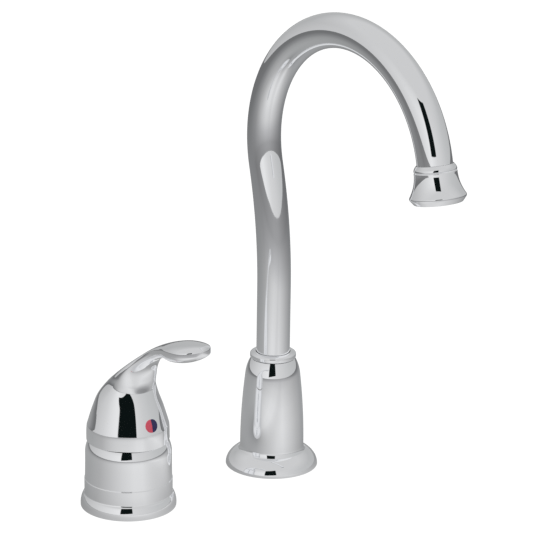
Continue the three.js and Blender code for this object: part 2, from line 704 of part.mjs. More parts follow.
function buildValve() {
  const group = new THREE.Group();
  group.position.x = -HOLE_SPACING;
  tap.add(group);
  const shank = washer(VALVE_SHANK_IN, VALVE_SHANK_R, -VALVE_SHANK_LENGTH, SHANK_HIGH - GAP);
  add(group, "valve_casing", valveCasing(), CHROME);
  add(group, "valve_body", valveBody(), BRASS);
  add(group, "valve_gasket", washer(VALVE_SHANK_R + GAP, VALVE_FLANGE_R, 0, GASKET), RUBBER);
  add(group, "valve_shank", shank, BRASS);
  clampUnderDeck(group, "valve", VALVE_SHANK_R, 8.2, 5.2);
  for (const [name, degrees] of Object.entries(SUPPLY_SPOTS)) {
    add(group, name + "_tube", supplyTube(degrees), COPPER);
    add(group, name + "_fitting", supplyFitting(degrees), BRASS);
  }
  const [lowerRing, upperRing] = CARTRIDGE_RINGS.map((z) => oRing(CARTRIDGE_R - 0.85, 0.8, z));
  add(group, "cartridge_sleeve", cartridge(), BRASS);
  add(group, "cartridge_o_ring_lower", lowerRing, RUBBER);
  add(group, "cartridge_o_ring_upper", upperRing, RUBBER);
  add(group, "cartridge_clip", clipShape(0), STEEL);
  add(group, "retainer_nut", retainerNut(), BRASS);
  add(group, "pivot_snap_ring", snapRing(), STEEL);
}

// ---------------------------------------------------------------- handle
const PIVOT_RING_LOW = NUT_HIGH + GAP;
const PIVOT_RING_HIGH = SNAP_LOW + 0.2 - GAP;
const EAR_IN = 3.3;
const EAR_OUT = 5.3;
const LUG_R = 2.2;
const PIVOT_RING_R = HINGE_BACK - LUG_R - 0.4;
const PIN_R = 1.4;
const YOKE_Z = HINGE_Z + 5; // height at which the yoke takes hold of the stem
const YOKE_HALF = STEM_R + 4;
const PRONG_R = 2;
const STEM_WAIST_R = STEM_R - 1; // where the prongs hold the stem
const STEM_HEAD_R = STEM_R + 1;
const SCREW_R = 2.5;
const SCREW_END = 11.6; // of the set screw, behind the handle's surface
const BOSS_END = 10; // and of the boss that it turns in

// A flat link with round ends, standing fore and aft between two heights, [front, z] each.
function link([front0, z0], [front1, z1], radius, side0, side1) {
  const length = Math.hypot(front1 - front0, z1 - z0);
  const outline = new THREE.Shape();
  outline.absarc(0, 0, radius, Math.PI / 2, (3 * Math.PI) / 2, false);
  outline.absarc(length, 0, radius, -Math.PI / 2, Math.PI / 2, false);
  return new THREE.ExtrudeGeometry(outline, {
    depth: side1 - side0,
    bevelEnabled: false,
    curveSegments: 6,
  })
    .rotateZ(Math.atan2(z1 - z0, front1 - front0))
    .translate(front0, z0, 0)
    .applyMatrix4(new THREE.Matrix4().makeBasis(
      new THREE.Vector3(0, -1, 0),
      new THREE.Vector3(0, 0, 1),
      new THREE.Vector3(-1, 0, 0),
    ))
    .translate(side1, 0, 0);
}

// A round bar from side to side through [front, z].
const crossBar = (radius, side0, side1, front, z) =>
  new THREE.CylinderGeometry(radius, radius, side1 - side0, 12)
    .rotateZ(Math.PI / 2)
    .translate((side0 + side1) / 2, -front, z);

function pivotRing() {
  const ears = [[-EAR_OUT, -EAR_IN], [EAR_IN, EAR_OUT]].map((side) =>
    join(
      link([-HINGE_BACK, HINGE_Z], [-HINGE_BACK + 1, HINGE_Z - 1.2], LUG_R, ...side),
      block(side, [-HINGE_BACK - 0.6, -NECK_R - 1.8], [PIVOT_RING_LOW, PIVOT_RING_HIGH]),
    ),
  );
  const ring = washer(NECK_R + RUN, PIVOT_RING_R, PIVOT_RING_LOW, PIVOT_RING_HIGH);
  return cut(join(ring, ...ears), crossBar(PIN_R + GAP, -EAR_OUT - 1, EAR_OUT + 1, -HINGE_BACK, HINGE_Z));
}

// A cylinder along the button's axis, between two depths behind the handle's surface.
const alongButton = (radius, depth0, depth1, sides = 12) =>
  new THREE.CylinderGeometry(radius, radius, depth1 - depth0, sides)
    .translate(0, -(depth0 + depth1) / 2, 0)
    .rotateX(Math.PI - rad(BUTTON_TILT))
    .translate(0, -BUTTON_FRONT, BUTTON_Z);

// The yoke hangs on the hinge pin, passes both sides of the stem and stands up in front for the set screw.
const POST_FRONT = [BUTTON_FRONT - 12.05, BUTTON_FRONT - 9.75];
const POST_HIGH = BUTTON_Z + 1;
function yoke() {
  const root = -HINGE_BACK + 4.2;
  const thick = [YOKE_Z - 1.1, YOKE_Z + 1.1];
  const bothSides = (inner, make) => [[-YOKE_HALF, -inner], [inner, YOKE_HALF]].map(make);
  const arms = bothSides(STEM_HEAD_R + 0.2, (side) => block(side, [root, POST_FRONT[1]], thick));
  const prongs = bothSides(STEM_WAIST_R + 0.4, (side) => crossBar(PRONG_R, ...side, 0, YOKE_Z));
  const back = block([-YOKE_HALF, YOKE_HALF], [root - 1.6, root + 1.5], [YOKE_Z - 1.5, YOKE_Z + 1.1]);
  const post = block([-YOKE_HALF, YOKE_HALF], POST_FRONT, [YOKE_Z - 1.1, POST_HIGH]);
  const lug = link([-HINGE_BACK, HINGE_Z], [root, YOKE_Z - 0.6], LUG_R, -EAR_IN + GAP, EAR_IN - GAP);
  const pinHole = crossBar(PIN_R + GAP, -EAR_OUT, EAR_OUT, -HINGE_BACK, HINGE_Z);
  const screwHole = alongButton(SCREW_R + GAP, BOSS_END - 1, SCREW_END + GAP);
  return cut(join(lug, back, post, ...arms, ...prongs), pinHole, screwHole);
}

// Sections of the handle from the skirt's edge up over the dome and out along the lever. Each has the point
// on the back, the one where the two edges lie, half the width there and the one on the front or underside.
// The points are [front, height above the skirt's edge]. Up to the crease the front is the dome's own; beyond
// it the front is the lever's hollowed underside.
const section = (back, edge, half, under) => ({ back, edge, half, under });
const dome = (inset, up) =>
  section([inset - SKIRT_R, up], [0, up], SKIRT_R - inset, [SKIRT_R - inset, up]);
const DOME = [
  dome(0, 0),
  dome(0, 6.1),
  dome(1.1, 12.6),
  dome(3.4, 20.1),
  section([6.6 - SKIRT_R, 27.5], [0.4, 27.3], SKIRT_R - 6.1, [SKIRT_R - 6.1, 26.5]),
];
const CREASE = section([12.5 - SKIRT_R, 34.7], [4.2, 35.1], SKIRT_R - 9.8, [SKIRT_R - 8.7, 32.7]);
const LEVER = [
  section([-2.8, 40.7], [7, 39.4], 12.7, [11.4, 37.6]),
  section([6.6, 47.6], [12, 45.7], 11, [12.4, 45.1]),
  section([15.8, 54.5], [19.5, 52.8], 8.4, [19.6, 50.9]),
  section([26.5, 61.9], [28.8, 59.7], 6.6, [28.6, 55.7]), // neck
  section([37.3, 67.4], [38, 64.5], 8.2, [38, 59.1]),
  section([47, 70.7], [48, 67.3], 11.3, [48, 59.7]), // widest
  section([57, 72], [57.5, 68.5], 11.1, [57.8, 62.3]),
  section([63.3, 71.8], [63.6, 69.3], 6.6, [64, 65.7]),
  section([65.8, 70.1], [65.8, 69.6], 1.2, [65.8, 68.3]), // tip
];
const LEVER_STRETCH = LEVER_REACH / LEVER.at(-1).edge[0];
const stretched = ({ back, edge, half, under }) => {
  const [b, e, u] = [back, edge, under].map(([front, up]) => [front * LEVER_STRETCH, up]);
  return section(b, e, half, u);
};

// One ring round a section: over the back from edge to edge, then under it. At the crease the underside
// starts to drop away from the back by the thickness of the lever's edge.
function handleRing(back, edge, width, under, pastCrease, halfSides) {
  const thickness = EDGE_THICKNESS * THREE.MathUtils.clamp(pastCrease, 0, 1) * Math.min(1, width / 4);
  const lower = edge.clone().sub(back.clone().sub(edge).setLength(thickness));
  return [[edge, back, 1], [lower, under, -1]].flatMap(([from, to, sign]) =>
    Array.from({ length: halfSides + 1 }, (_, j) => {
      const angle = (Math.PI * j) / halfSides;
      const p = from.clone().lerp(to, Math.sin(angle));
      return new THREE.Vector3(sign * width * Math.cos(angle), -p.x, SKIRT_BOTTOM + p.y);
    }),
  );
}

// The handle's outside: smooth curves run lengthwise through the sections, the front one broken at the
// crease.
function handleOutside(stepsPerSection, halfSides) {
  const curve = (sections, key) => {
    const spline = new THREE.SplineCurve(sections.map((s) => new THREE.Vector2(...[s[key], 0].flat())));
    return (at) => spline.getPoint(at / (sections.length - 1));
  };
  const all = [...DOME, CREASE, ...LEVER.map(stretched)];
  const crease = DOME.length;
  const [back, edge, half] = ["back", "edge", "half"].map((key) => curve(all, key));
  const domeFront = curve(all.slice(0, crease + 1), "under");
  const underside = curve(all.slice(crease), "under");
  return skin(
    Array.from({ length: (all.length - 1) * stepsPerSection + 1 }, (_, i) => {
      const at = i / stepsPerSection;
      const under = at <= crease ? domeFront(at) : underside(at - crease);
      return handleRing(back(at), edge(at), half(at).x, under, at - crease, halfSides);
    }),
  );
}

function handleCasting() {
  const hollowR = (inset) => SKIRT_R - SHELL_WALL - inset;
  const hollow = turned([
    [0, -5],
    [hollowR(0), -5],
    [hollowR(0), 6.1],
    [hollowR(1.3), 12.6],
    [hollowR(3.9), 20.1],
    [hollowR(7.8), 25.1],
    [hollowR(15.3), 28.6],
    [0, 29.1],
  ]).translate(0, 0, SKIRT_BOTTOM);
  const shell = join(cut(handleOutside(3, 8), hollow), alongButton(6, 1.3, BOSS_END));
  const postRoom = block(
    [-YOKE_HALF - GAP, YOKE_HALF + GAP],
    [POST_FRONT[0] - GAP, POST_FRONT[1] + GAP],
    [YOKE_Z - 2, POST_HIGH + GAP],
  );
  // The back of the skirt is cut away on a slope so that it clears the valve when the handle is lifted.
  const relief = block([-30, 30], [-30, 0], [-10, 0])
    .rotateX(rad(LIFT_LIMIT))
    .translate(0, HINGE_BACK - 1.2, SKIRT_BOTTOM);
  const buttonHole = alongButton(BUTTON_R + GAP, -3, BUTTON_DEPTH + GAP);
  const screwHole = alongButton(SCREW_R + GAP, BUTTON_DEPTH - 0.5, BOSS_END + 1);
  return cut(shell, postRoom, relief, buttonHole, screwHole);
}

function handleStem() {
  const prongSeat = YOKE_Z - PRONG_R - GAP;
  const boreR = 1.8; // for the screw in its end
  return turned([
    [0, CARTRIDGE_LOW + 3.7],
    [STEM_R, CARTRIDGE_LOW + 3.7],
    [STEM_R, prongSeat - 1.1],
    [STEM_HEAD_R, prongSeat - 1.1],
    [STEM_HEAD_R, prongSeat],
    [STEM_WAIST_R, prongSeat],
    [STEM_WAIST_R, YOKE_Z + PRONG_R],
    [boreR, YOKE_Z + PRONG_R],
    [boreR, YOKE_Z - 10],
    [0, YOKE_Z - 10],
  ]);
}

function stemScrew(seat) {
  const screw = turned([
    [0, YOKE_Z - 9],
    [1.5, YOKE_Z - 9],
    [1.5, seat],
    [STEM_R, seat],
    [STEM_R, seat + 2.2],
    [STEM_R - 0.6, seat + 2.8],
    [0, seat + 2.8],
  ]);
  return cut(screw, rod(1.5, seat + 1, seat + 4, 6));
}

function buildHandle() {
  const group = new THREE.Group();
  group.position.x = -HOLE_SPACING;
  tap.add(group);
  const washerLow = YOKE_Z + PRONG_R + GAP;
  const washerHigh = washerLow + 1.2;
  const pin = crossBar(PIN_R, -EAR_OUT - 0.4, EAR_OUT + 0.4, -HINGE_BACK, HINGE_Z);
  const setScrew = cut(alongButton(SCREW_R, 5, SCREW_END), alongButton(1.4, 4, 7.5, 6));
  add(group, "pivot_ring", pivotRing(), BRASS);
  add(group, "hinge_pin", pin, STEEL);
  add(group, "cartridge_stem", handleStem(), BRASS);
  add(group, "stem_washer", washer(1.8, STEM_HEAD_R, washerLow, washerHigh), STEEL);
  add(group, "stem_screw", stemScrew(washerHigh + GAP), STEEL);
  add(group, "handle_yoke", yoke(), STEEL);
  add(group, "handle_casting", handleCasting(), CHROME);
  add(group, "handle_set_screw", setScrew, STEEL);
  add(group, "indicator_button", alongButton(BUTTON_R, 0, BUTTON_DEPTH), BUTTON);
}

buildSpoutFixed();
buildSpoutTurning();
buildValve();
buildHandle();

export default tap;
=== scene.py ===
# %% [markdown]
# # A gooseneck bar tap in polished chrome
# The tap stands on a deck in two pieces: a tall spout that swivels, and beside it a valve under a domed
# handle whose lever curls forward. Nearly all that shows is chrome plate, so this file is about two things:
# surfaces that are smooth enough to hold a reflection, and a studio that is worth reflecting.

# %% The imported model
import json
import math

import bmesh
import bpy
import numpy as np
from mathutils import Matrix


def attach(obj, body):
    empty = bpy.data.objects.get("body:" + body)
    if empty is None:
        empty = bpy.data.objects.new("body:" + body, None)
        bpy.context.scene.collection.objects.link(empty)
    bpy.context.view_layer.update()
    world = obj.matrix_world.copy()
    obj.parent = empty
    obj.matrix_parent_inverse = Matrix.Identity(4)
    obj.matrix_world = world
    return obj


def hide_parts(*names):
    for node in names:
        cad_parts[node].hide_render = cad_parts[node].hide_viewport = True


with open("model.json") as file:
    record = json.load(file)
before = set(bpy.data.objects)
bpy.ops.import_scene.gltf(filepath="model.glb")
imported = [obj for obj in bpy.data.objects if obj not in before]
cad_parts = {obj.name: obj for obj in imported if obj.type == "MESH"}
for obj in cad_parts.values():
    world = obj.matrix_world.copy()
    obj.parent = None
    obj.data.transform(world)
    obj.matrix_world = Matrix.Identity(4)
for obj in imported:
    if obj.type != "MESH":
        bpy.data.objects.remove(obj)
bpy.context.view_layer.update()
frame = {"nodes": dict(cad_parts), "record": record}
MM = 0.001  # shapes are worked out in millimetres, and a mesh is in metres
HOLE_SPACING = 101.6  # from the spout's axis to the valve's: 4 inches
SPOUT_AXIS, VALVE_AXIS = (0, 0), (-HOLE_SPACING, 0)
body_of = {node: body for body, nodes in frame["record"]["behaviour"]["bodies"].items() for node in nodes}

# %% [markdown]
# ## From a grid of points to a mesh
# Each piece here is a grid: rings of points, one after another along the piece. A turned part, a bent tube
# and the lever all fit that pattern, and then one function can make the mesh. Rings that shrink to a point,
# and seams where the grid meets itself, are welded, so that every piece is one closed skin.

# %% Grid to mesh
WELD = 2e-6  # metres: points that are nearer to each other than this become one


def grid_faces(rows, columns, looped):
    """Corner numbers of the quads between each ring and the next, for all rings at once. Point j of ring i
    has the number i * columns + j, and after the last point of a ring comes its first."""
    ring = np.arange(rows if looped else rows - 1)[:, None]
    point = np.arange(columns)[None, :]
    next_ring, next_point = (ring + 1) % rows, (point + 1) % columns
    corners = [ring * columns + point, ring * columns + next_point,
               next_ring * columns + next_point, next_ring * columns + point]
    return np.stack([np.broadcast_to(c, (len(ring), columns)) for c in corners], -1).reshape(-1, 4)


def skin(name, rings, looped, crease):
    """rings is an array (ring, point, xyz) in millimetres. Ring after ring is joined; looped joins the last
    to the first. Edges that bend by more than crease degrees are kept sharp."""
    rows, columns, _ = rings.shape
    mesh = bpy.data.meshes.new(name)
    mesh.from_pydata((rings.reshape(-1, 3) * MM).tolist(), [], grid_faces(rows, columns, looped).tolist())
    weld = bmesh.new()
    weld.from_mesh(mesh)
    bmesh.ops.remove_doubles(weld, verts=weld.verts, dist=WELD)
    bmesh.ops.recalc_face_normals(weld, faces=weld.faces)
    weld.to_mesh(mesh)
    weld.free()
    mesh.shade_smooth()
    mesh.set_sharp_from_angle(angle=math.radians(crease))
    piece = bpy.data.objects.new(name, mesh)
    bpy.context.scene.collection.objects.link(piece)
    return piece


# %% [markdown]
# A skin takes over from one part of the CAD model: it rides on the same body, so that it moves with the same
# joint, it hides the plain part, and it carries the part's finish.


# %% Standing in for a CAD part
def stand_for(node, material, rings, looped=True, crease=40):
    """Makes a skin that takes the place, the body and the finish of the CAD node of that name."""
    piece = skin(node + "_skin", rings, looped, crease)
    piece.data.materials.append(material)
    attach(piece, body_of[node])
    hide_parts(node)
    print(piece.name, len(piece.data.polygons), "faces")


# %% [markdown]
# ## Outlines
# A turned part is drawn as half of its outline, which could be done with a curve object and a Screw
# modifier. Numbers are easier to keep in step with the other parts. The corners of such an outline are
# never sharp on a real casting: polishing rounds them, and that thin rounded line is what catches the
# light. So an outline is written as its corners, each with a radius, with arcs between them where the metal
# really is an arc.

# %% Rounded corners and arcs
MOST_OF_HALF = 0.49  # the share of a side that one rounded corner may take, so that two never meet


def rounded(corners, steps=6):
    """corners are (distance from the axis, height, corner radius). Each corner becomes a curve that starts
    and ends at its own distance from the corner along the two sides: a quadratic Bezier with the corner as
    its middle handle, start (1 - t) squared + 2 corner t (1 - t) + end t squared. Plain corners stay one
    point."""
    table = np.array([(*c, 0)[:3] for c in corners], float)
    corner, reach = table[:, :2], table[:, 2]
    before, after = np.roll(corner, 1, 0) - corner, np.roll(corner, -1, 0) - corner
    size_b, size_a = np.linalg.norm(before, axis=1), np.linalg.norm(after, axis=1)
    start = corner + before * (np.minimum(reach, size_b * MOST_OF_HALF) / size_b)[:, None]
    end = corner + after * (np.minimum(reach, size_a * MOST_OF_HALF) / size_a)[:, None]
    t = np.linspace(0, 1, steps)[None, :, None]
    curve = start[:, None] * (1 - t) ** 2 + 2 * corner[:, None] * t * (1 - t) + end[:, None] * t**2
    return curve[(reach > 0)[:, None] | (np.arange(steps) == 0)]


def arc(centre, radii, between, steps):
    """Outline points on an arc: distance = centre + radius cos a and height = centre + radius sin a, each
    with its own centre and radius, for a from the first to the second of the two angles in between, in
    radians."""
    a = np.linspace(*between, steps)
    return np.column_stack([centre[0] + radii[0] * np.cos(a), centre[1] + radii[1] * np.sin(a)])


# %% [markdown]
# A lathe turns the work under a tool that follows the outline. Here every point of the outline goes round
# the axis instead, and all at once: numpy multiplies a column of radii by a row of angles.


# %% Turning
def whole_turn(sides, start=0.0):
    """As many angles as there are sides, evenly spaced over 2 pi from start."""
    return start + np.linspace(0, 2 * np.pi, sides, endpoint=False)


def around(axis, r, a, z):
    """Points round an upright axis: x = r cos a and y = r sin a from the axis, at height z."""
    return np.stack([axis[0] + r * np.cos(a), axis[1] + r * np.sin(a), z + 0 * a], -1)


def turned(outline, sides=128, axis=SPOUT_AXIS, start=0.0):
    """Each outline point (r, z) goes round the axis for a whole turn."""
    outline = np.asarray(outline, float)
    return around(axis, outline[:, :1], whole_turn(sides, start), outline[:, 1:])


# %% [markdown]
# ## Small tools for materials
# Colours are written as sRGB hex values, as a paint chart gives them, and the shader wants linear light.
# One function adds a node, sets it up and wires it. Patterns are given by the size of their patches.


# %% Colours and nodes
def linear(hex_colour):
    """sRGB to linear light: c / 12.92 below 0.04045, otherwise ((c + 0.055) / 1.055) to the power 2.4."""
    c = np.array([int(hex_colour[i : i + 2], 16) for i in (1, 3, 5)]) / 255
    return (*np.where(c < 0.04045, c / 12.92, ((c + 0.055) / 1.055) ** 2.4).tolist(), 1.0)


def put(tree, kind, inputs=None, **settings):
    """Adds a node. inputs maps a socket to a value or to another node's output."""
    made = tree.nodes.new(kind)
    for key, value in settings.items():
        setattr(made, key, value)
    for socket, value in (inputs or {}).items():
        if isinstance(value, bpy.types.NodeSocket):
            tree.links.new(value, made.inputs[socket])
        else:
            made.inputs[socket].default_value = value
    return made


def new_material(name):
    """A material without any nodes yet, and its node tree."""
    material = bpy.data.materials.new(name)
    material.use_nodes = True
    material.node_tree.nodes.clear()
    return material, material.node_tree


def patches(size_mm):
    """A noise texture's scale: how many patches of this size go into a metre, 1000 / size."""
    return 1000 / size_mm


# %% [markdown]
# ## Polished chrome plate
# Nickel and then a micron or less of chromium over polished brass or zinc. It is a near mirror, very
# slightly cool, that reflects a little over nine tenths as brightly as silver would. Its roughness is tiny
# but not even: handling and wiping leave patches some 14 mm across, and hairline wiping marks 3 mm long,
# that soften the reflection a little. A real hairline is finer than this picture's dots, so these are drawn
# 0.2 mm wide.

# %% Chrome
HAZE_PATCH, HAIRLINE, HAIRLINE_THINNER = 100 / 7, 3.125, 14.0  # mm across, mm long, times thinner
CLEAN, WIPED = 0.015, 0.045  # roughness
chrome, tree = new_material("polished_chrome_plate")
place = put(tree, "ShaderNodeTexCoord").outputs["Object"]
wiped = put(tree, "ShaderNodeTexNoise", {"Vector": place, "Scale": patches(HAZE_PATCH), "Detail": 3.0,
                                         "Roughness": 0.6})
haze = put(tree, "ShaderNodeMapRange", {"Value": wiped.outputs["Fac"], "From Min": 0.35, "From Max": 0.75,
                                        "To Min": CLEAN, "To Max": WIPED})
stretch = put(tree, "ShaderNodeMapping", {"Vector": place, "Scale": (1.0, 1.0, HAIRLINE_THINNER),
                                          "Rotation": (0.3, 0.2, 0.0)})
hairlines = put(tree, "ShaderNodeTexNoise", {"Vector": stretch.outputs["Vector"],
                                             "Scale": patches(HAIRLINE), "Detail": 1.0})
marks = put(tree, "ShaderNodeBump", {"Height": hairlines.outputs["Fac"], "Strength": 0.004,
                                     "Distance": 0.2 * MM})
plate = put(tree, "ShaderNodeBsdfPrincipled", {
    "Base Color": linear("#f1f2f4"), "Metallic": 1.0, "Roughness": haze.outputs["Result"],
    "Normal": marks.outputs["Normal"]})
put(tree, "ShaderNodeOutputMaterial", {"Surface": plate.outputs["BSDF"]})
print(chrome.name, len(tree.nodes), "nodes")

# %% [markdown]
# ## Turned brass
# Nuts, shanks and the valve's body are bar brass straight from the lathe: yellow, a little dull, tarnished
# in patches of a centimetre, with the fine feed marks of the tool running round them. A lathe leaves those
# 0.1 to 0.2 mm apart. Here they are 0.5 mm apart, because finer ones would not show. A sine of the height
# draws them.

# %% Brass
FEED, TARNISH_PATCH = 0.5, 100 / 9  # mm
brass, tree = new_material("turned_brass")
place = put(tree, "ShaderNodeTexCoord").outputs["Object"]
height = put(tree, "ShaderNodeSeparateXYZ", {"Vector": place}).outputs["Z"]
feed = put(tree, "ShaderNodeMath", {0: height, 1: 2 * math.pi / (FEED * MM)}, operation="MULTIPLY")
groove = put(tree, "ShaderNodeMath", {0: feed.outputs[0]}, operation="SINE")
tarnish = put(tree, "ShaderNodeTexNoise", {"Vector": place, "Scale": patches(TARNISH_PATCH), "Detail": 4.0})
tint = put(tree, "ShaderNodeValToRGB", {"Fac": tarnish.outputs["Fac"]})
tint.color_ramp.elements[0].color = linear("#b3914c")
tint.color_ramp.elements[1].color = linear("#dcbd78")
marks = put(tree, "ShaderNodeBump", {"Height": groove.outputs[0], "Strength": 0.15, "Distance": 0.05 * MM})
dull = put(tree, "ShaderNodeMapRange", {"Value": tarnish.outputs["Fac"], "To Min": 0.2, "To Max": 0.42})
metal = put(tree, "ShaderNodeBsdfPrincipled", {
    "Base Color": tint.outputs["Color"], "Metallic": 1.0, "Roughness": dull.outputs["Result"],
    "Normal": marks.outputs["Normal"]})
put(tree, "ShaderNodeOutputMaterial", {"Surface": metal.outputs["BSDF"]})
print(brass.name, len(tree.nodes), "nodes")

# %% [markdown]
# ## Steel, copper, rubber and nylon
# The washers and screws are stainless steel with a rolled grain, the supply tubes are drawn copper, the
# gaskets and rings are black nitrile rubber with a fine matt bloom, and the glide washers are moulded
# nylon. All four differ only in their two tones, their gloss and the size of their grain, so one function
# makes them.


# %% Plain stock materials
def stock(name, dark, light, metallic, roughness, grain_mm, bump):
    """A material whose colour wavers between two tones over patches of twice the grain. Its roughness
    wavers by a fifth to each side, and the same noise raises the surface by up to a tenth of a millimetre
    times bump."""
    material, tree = new_material(name)
    place = put(tree, "ShaderNodeTexCoord").outputs["Object"]
    grain = put(tree, "ShaderNodeTexNoise", {"Vector": place, "Scale": patches(2 * grain_mm), "Detail": 4.0})
    tone = put(tree, "ShaderNodeValToRGB", {"Fac": grain.outputs["Fac"]})
    tone.color_ramp.elements[0].color, tone.color_ramp.elements[1].color = linear(dark), linear(light)
    relief = put(tree, "ShaderNodeBump", {"Height": grain.outputs["Fac"], "Strength": bump,
                                          "Distance": 0.1 * MM})
    shine = put(tree, "ShaderNodeMapRange", {"Value": grain.outputs["Fac"], "To Min": roughness * 0.8,
                                             "To Max": roughness * 1.2})
    surface = put(tree, "ShaderNodeBsdfPrincipled", {
        "Base Color": tone.outputs["Color"], "Metallic": metallic, "Roughness": shine.outputs["Result"],
        "Normal": relief.outputs["Normal"]})
    put(tree, "ShaderNodeOutputMaterial", {"Surface": surface.outputs["BSDF"]})
    print(name, len(tree.nodes), "nodes")
    return material


steel = stock("rolled_stainless_steel", "#a9adb0", "#c4c8ca", 1.0, 0.3, grain_mm=0.6, bump=0.2)
copper = stock("drawn_copper_tube", "#b76e4e", "#da9070", 1.0, 0.28, grain_mm=4.0, bump=0.1)
rubber = stock("black_nitrile_rubber", "#141416", "#232326", 0.0, 0.65, grain_mm=0.3, bump=0.35)
nylon = stock("moulded_nylon", "#d3d1c8", "#e6e4dc", 0.0, 0.45, grain_mm=1.5, bump=0.1)

# %% [markdown]
# ## The spout's path
# The tube rises straight from its base, leans back along a long gentle bend and then goes over in one round
# arch. A bevelled curve object would make such a tube too, but its rings can't be placed one by one. Three
# pieces of curve that meet with the same heading read as one sweep, as they do when a real tube is drawn
# round its formers.

# %% Path of the tube
TUBE_FOOT, RISER_TOP, RISER_STEPS = 48.3, 106.0, 8  # the tube starts inside the base
BACK_BEND_R, BACK_BEND = 287.9, math.radians(14.03)
ARCH_R, ARCH_RISE, OUTLET_LEAN = 70.8, 70.36, math.radians(11)  # the arch is a touch lower than round
TUBE_STUB = 6.0  # the straight end that goes into the bell


def tube_path(lean_steps, arch_steps):
    """Rows of (front, height, heading). On a bend of radius R, the point at heading h is the bend's centre
    plus R times (-sin h, cos h) for a bend forwards, and minus that for the bend backwards."""
    lean = np.linspace(0, BACK_BEND, lean_steps + 1)
    leaning = np.stack([-BACK_BEND_R * (1 - np.cos(lean)), RISER_TOP + BACK_BEND_R * np.sin(lean),
                        np.pi / 2 + lean], 1)
    first, last = np.pi / 2 + BACK_BEND, OUTLET_LEAN - np.pi / 2
    centre = leaning[-1, :2] + ARCH_R * np.array([math.sin(first), -math.cos(first)])
    h = np.linspace(first, last, arch_steps + 1)[1:]
    rise = np.where(np.cos(h) > 0, ARCH_RISE, ARCH_R)
    arch = np.stack([centre[0] - ARCH_R * np.sin(h), centre[1] + rise * np.cos(h), h], 1)
    straight = arch[-1] + np.array([math.cos(last), math.sin(last), 0]) * TUBE_STUB
    up = np.linspace(TUBE_FOOT, RISER_TOP, RISER_STEPS + 1)[:-1]
    riser = np.stack([0 * up, up, 0 * up + np.pi / 2], 1)
    return np.vstack([riser, leaning, arch, straight])


# %% [markdown]
# The tube is a circle at each stop of that path. Its inside is a second, narrower tube that runs back down,
# so that the wall is real where one looks into it.

# %% The tube
TUBE_R, TUBE_WALL = 9.5, 1.2


def tube_rings(path, radius, sides=96):
    """A circle at each stop, square to the heading: across is +X, and out is the heading turned a
    quarter."""
    a = whole_turn(sides)
    front, z, h = (path[:, i : i + 1] for i in range(3))
    across, out = radius * np.cos(a), radius * np.sin(a)
    return np.stack([across + 0 * h, -front + out * np.sin(h), z + out * np.cos(h)], -1)


outer_path, inner_path = tube_path(24, 150), tube_path(8, 40)  # the inside needs fewer rings
stand_for("spout_tube", chrome, np.concatenate([
    tube_rings(outer_path, TUBE_R), tube_rings(inner_path, TUBE_R - TUBE_WALL)[::-1]]))
outlet = outer_path[-2]
print("outlet starts at", outlet[:2].round(2), "mm")

# %% [markdown]
# ## The outlet
# A turned bell is pressed on the end of the tube: a neck with one fine groove, a flare like a trumpet's,
# then a chamfered lip round the aerator. It is drawn looking down its own axis, where it is simply round,
# and then hung on the end of the tube.


# %% Outlet bell
def hang_on_outlet(rings):
    """Turns shapes drawn along -Z at the origin by the outlet's lean and moves them to the end of the
    tube."""
    c, s = math.cos(OUTLET_LEAN), math.sin(OUTLET_LEAN)
    x, y, z = rings[..., 0], rings[..., 1], rings[..., 2]
    return np.stack([x, y * c + z * s - outlet[0], -y * s + z * c + outlet[1]], -1)


BELL_R, BELL_LENGTH, AERATOR_R = 15.1, 20.3, 10.9
SOCKET_R, SOCKET_END, THROAT = TUBE_R + 0.3, -6.3, -9.2
depth = np.linspace(16.2, 5, 24)  # the flare widens with the depth to the power 2.1
flare = np.column_stack([11.4 + (BELL_R - 11.5) * ((depth - 4) / 12.5) ** 2.1, -depth])
neck_groove = [(11.42, -3.95, 0.15), (11.02, -3.5, 0.12), (11.42, -3.1, 0.2)]
bell = rounded([
    (AERATOR_R + 0.3, THROAT), (AERATOR_R + 0.3, -BELL_LENGTH, 0.2), (12.8, -BELL_LENGTH, 0.5),
    (BELL_R - 0.1, -17.5, 0.7), (BELL_R, -16.7, 0.4), *flare, *neck_groove, (11.3, -1.9, 0.9),
    (TUBE_R + 0.55, 0.0, 0.25), (SOCKET_R, 0.0), (SOCKET_R, SOCKET_END),
    (TUBE_R - TUBE_WALL, SOCKET_END), (TUBE_R - TUBE_WALL, THROAT),
])
stand_for("outlet_bell", chrome, hang_on_outlet(turned(bell)))

# %% [markdown]
# The aerator sits in the bell's mouth. Its plated housing is the thin ring that shows inside the lip.

# %% Aerator housing
HOUSING_TOP, HOUSING_LOW, HOUSING_BORE = -11.2, -BELL_LENGTH + 0.4, AERATOR_R - 1.3
housing = rounded([
    (AERATOR_R, HOUSING_LOW, 0.4), (AERATOR_R, HOUSING_TOP, 0.2), (HOUSING_BORE, HOUSING_TOP, 0.2),
    (HOUSING_BORE, -BELL_LENGTH + 1.8), (AERATOR_R - 2.2, -BELL_LENGTH + 1.8, 0.2),
    (AERATOR_R - 2.0, HOUSING_LOW, 0.3),
])
stand_for("aerator_housing", chrome, hang_on_outlet(turned(housing)))

# %% [markdown]
# ## The spout's base and collar
# The base is one turned casting: a foot with a rounded brim, a body that narrows slowly upwards, and a soft
# shoulder. A separate collar holds the spout down in it, and the thin dark line between the two is a real
# gap. In a mirror finish the eye reads the outline's bends more than its place, so each stretch is its own
# smooth curve, and the stretches meet with the same slope.

# %% Spout base
FLARE_TOP, SHOULDER_Z, SHOULDER_R, SHOULDER_START = 12.3, 55.8, 24, 0.165


def base_radius(z):
    """The body narrows upwards as a parabola does: 18.15 mm at a height of 12, and 2.96 mm less 46 mm
    higher."""
    return 18.15 - 2.96 * ((z - 12) / 46) ** 2


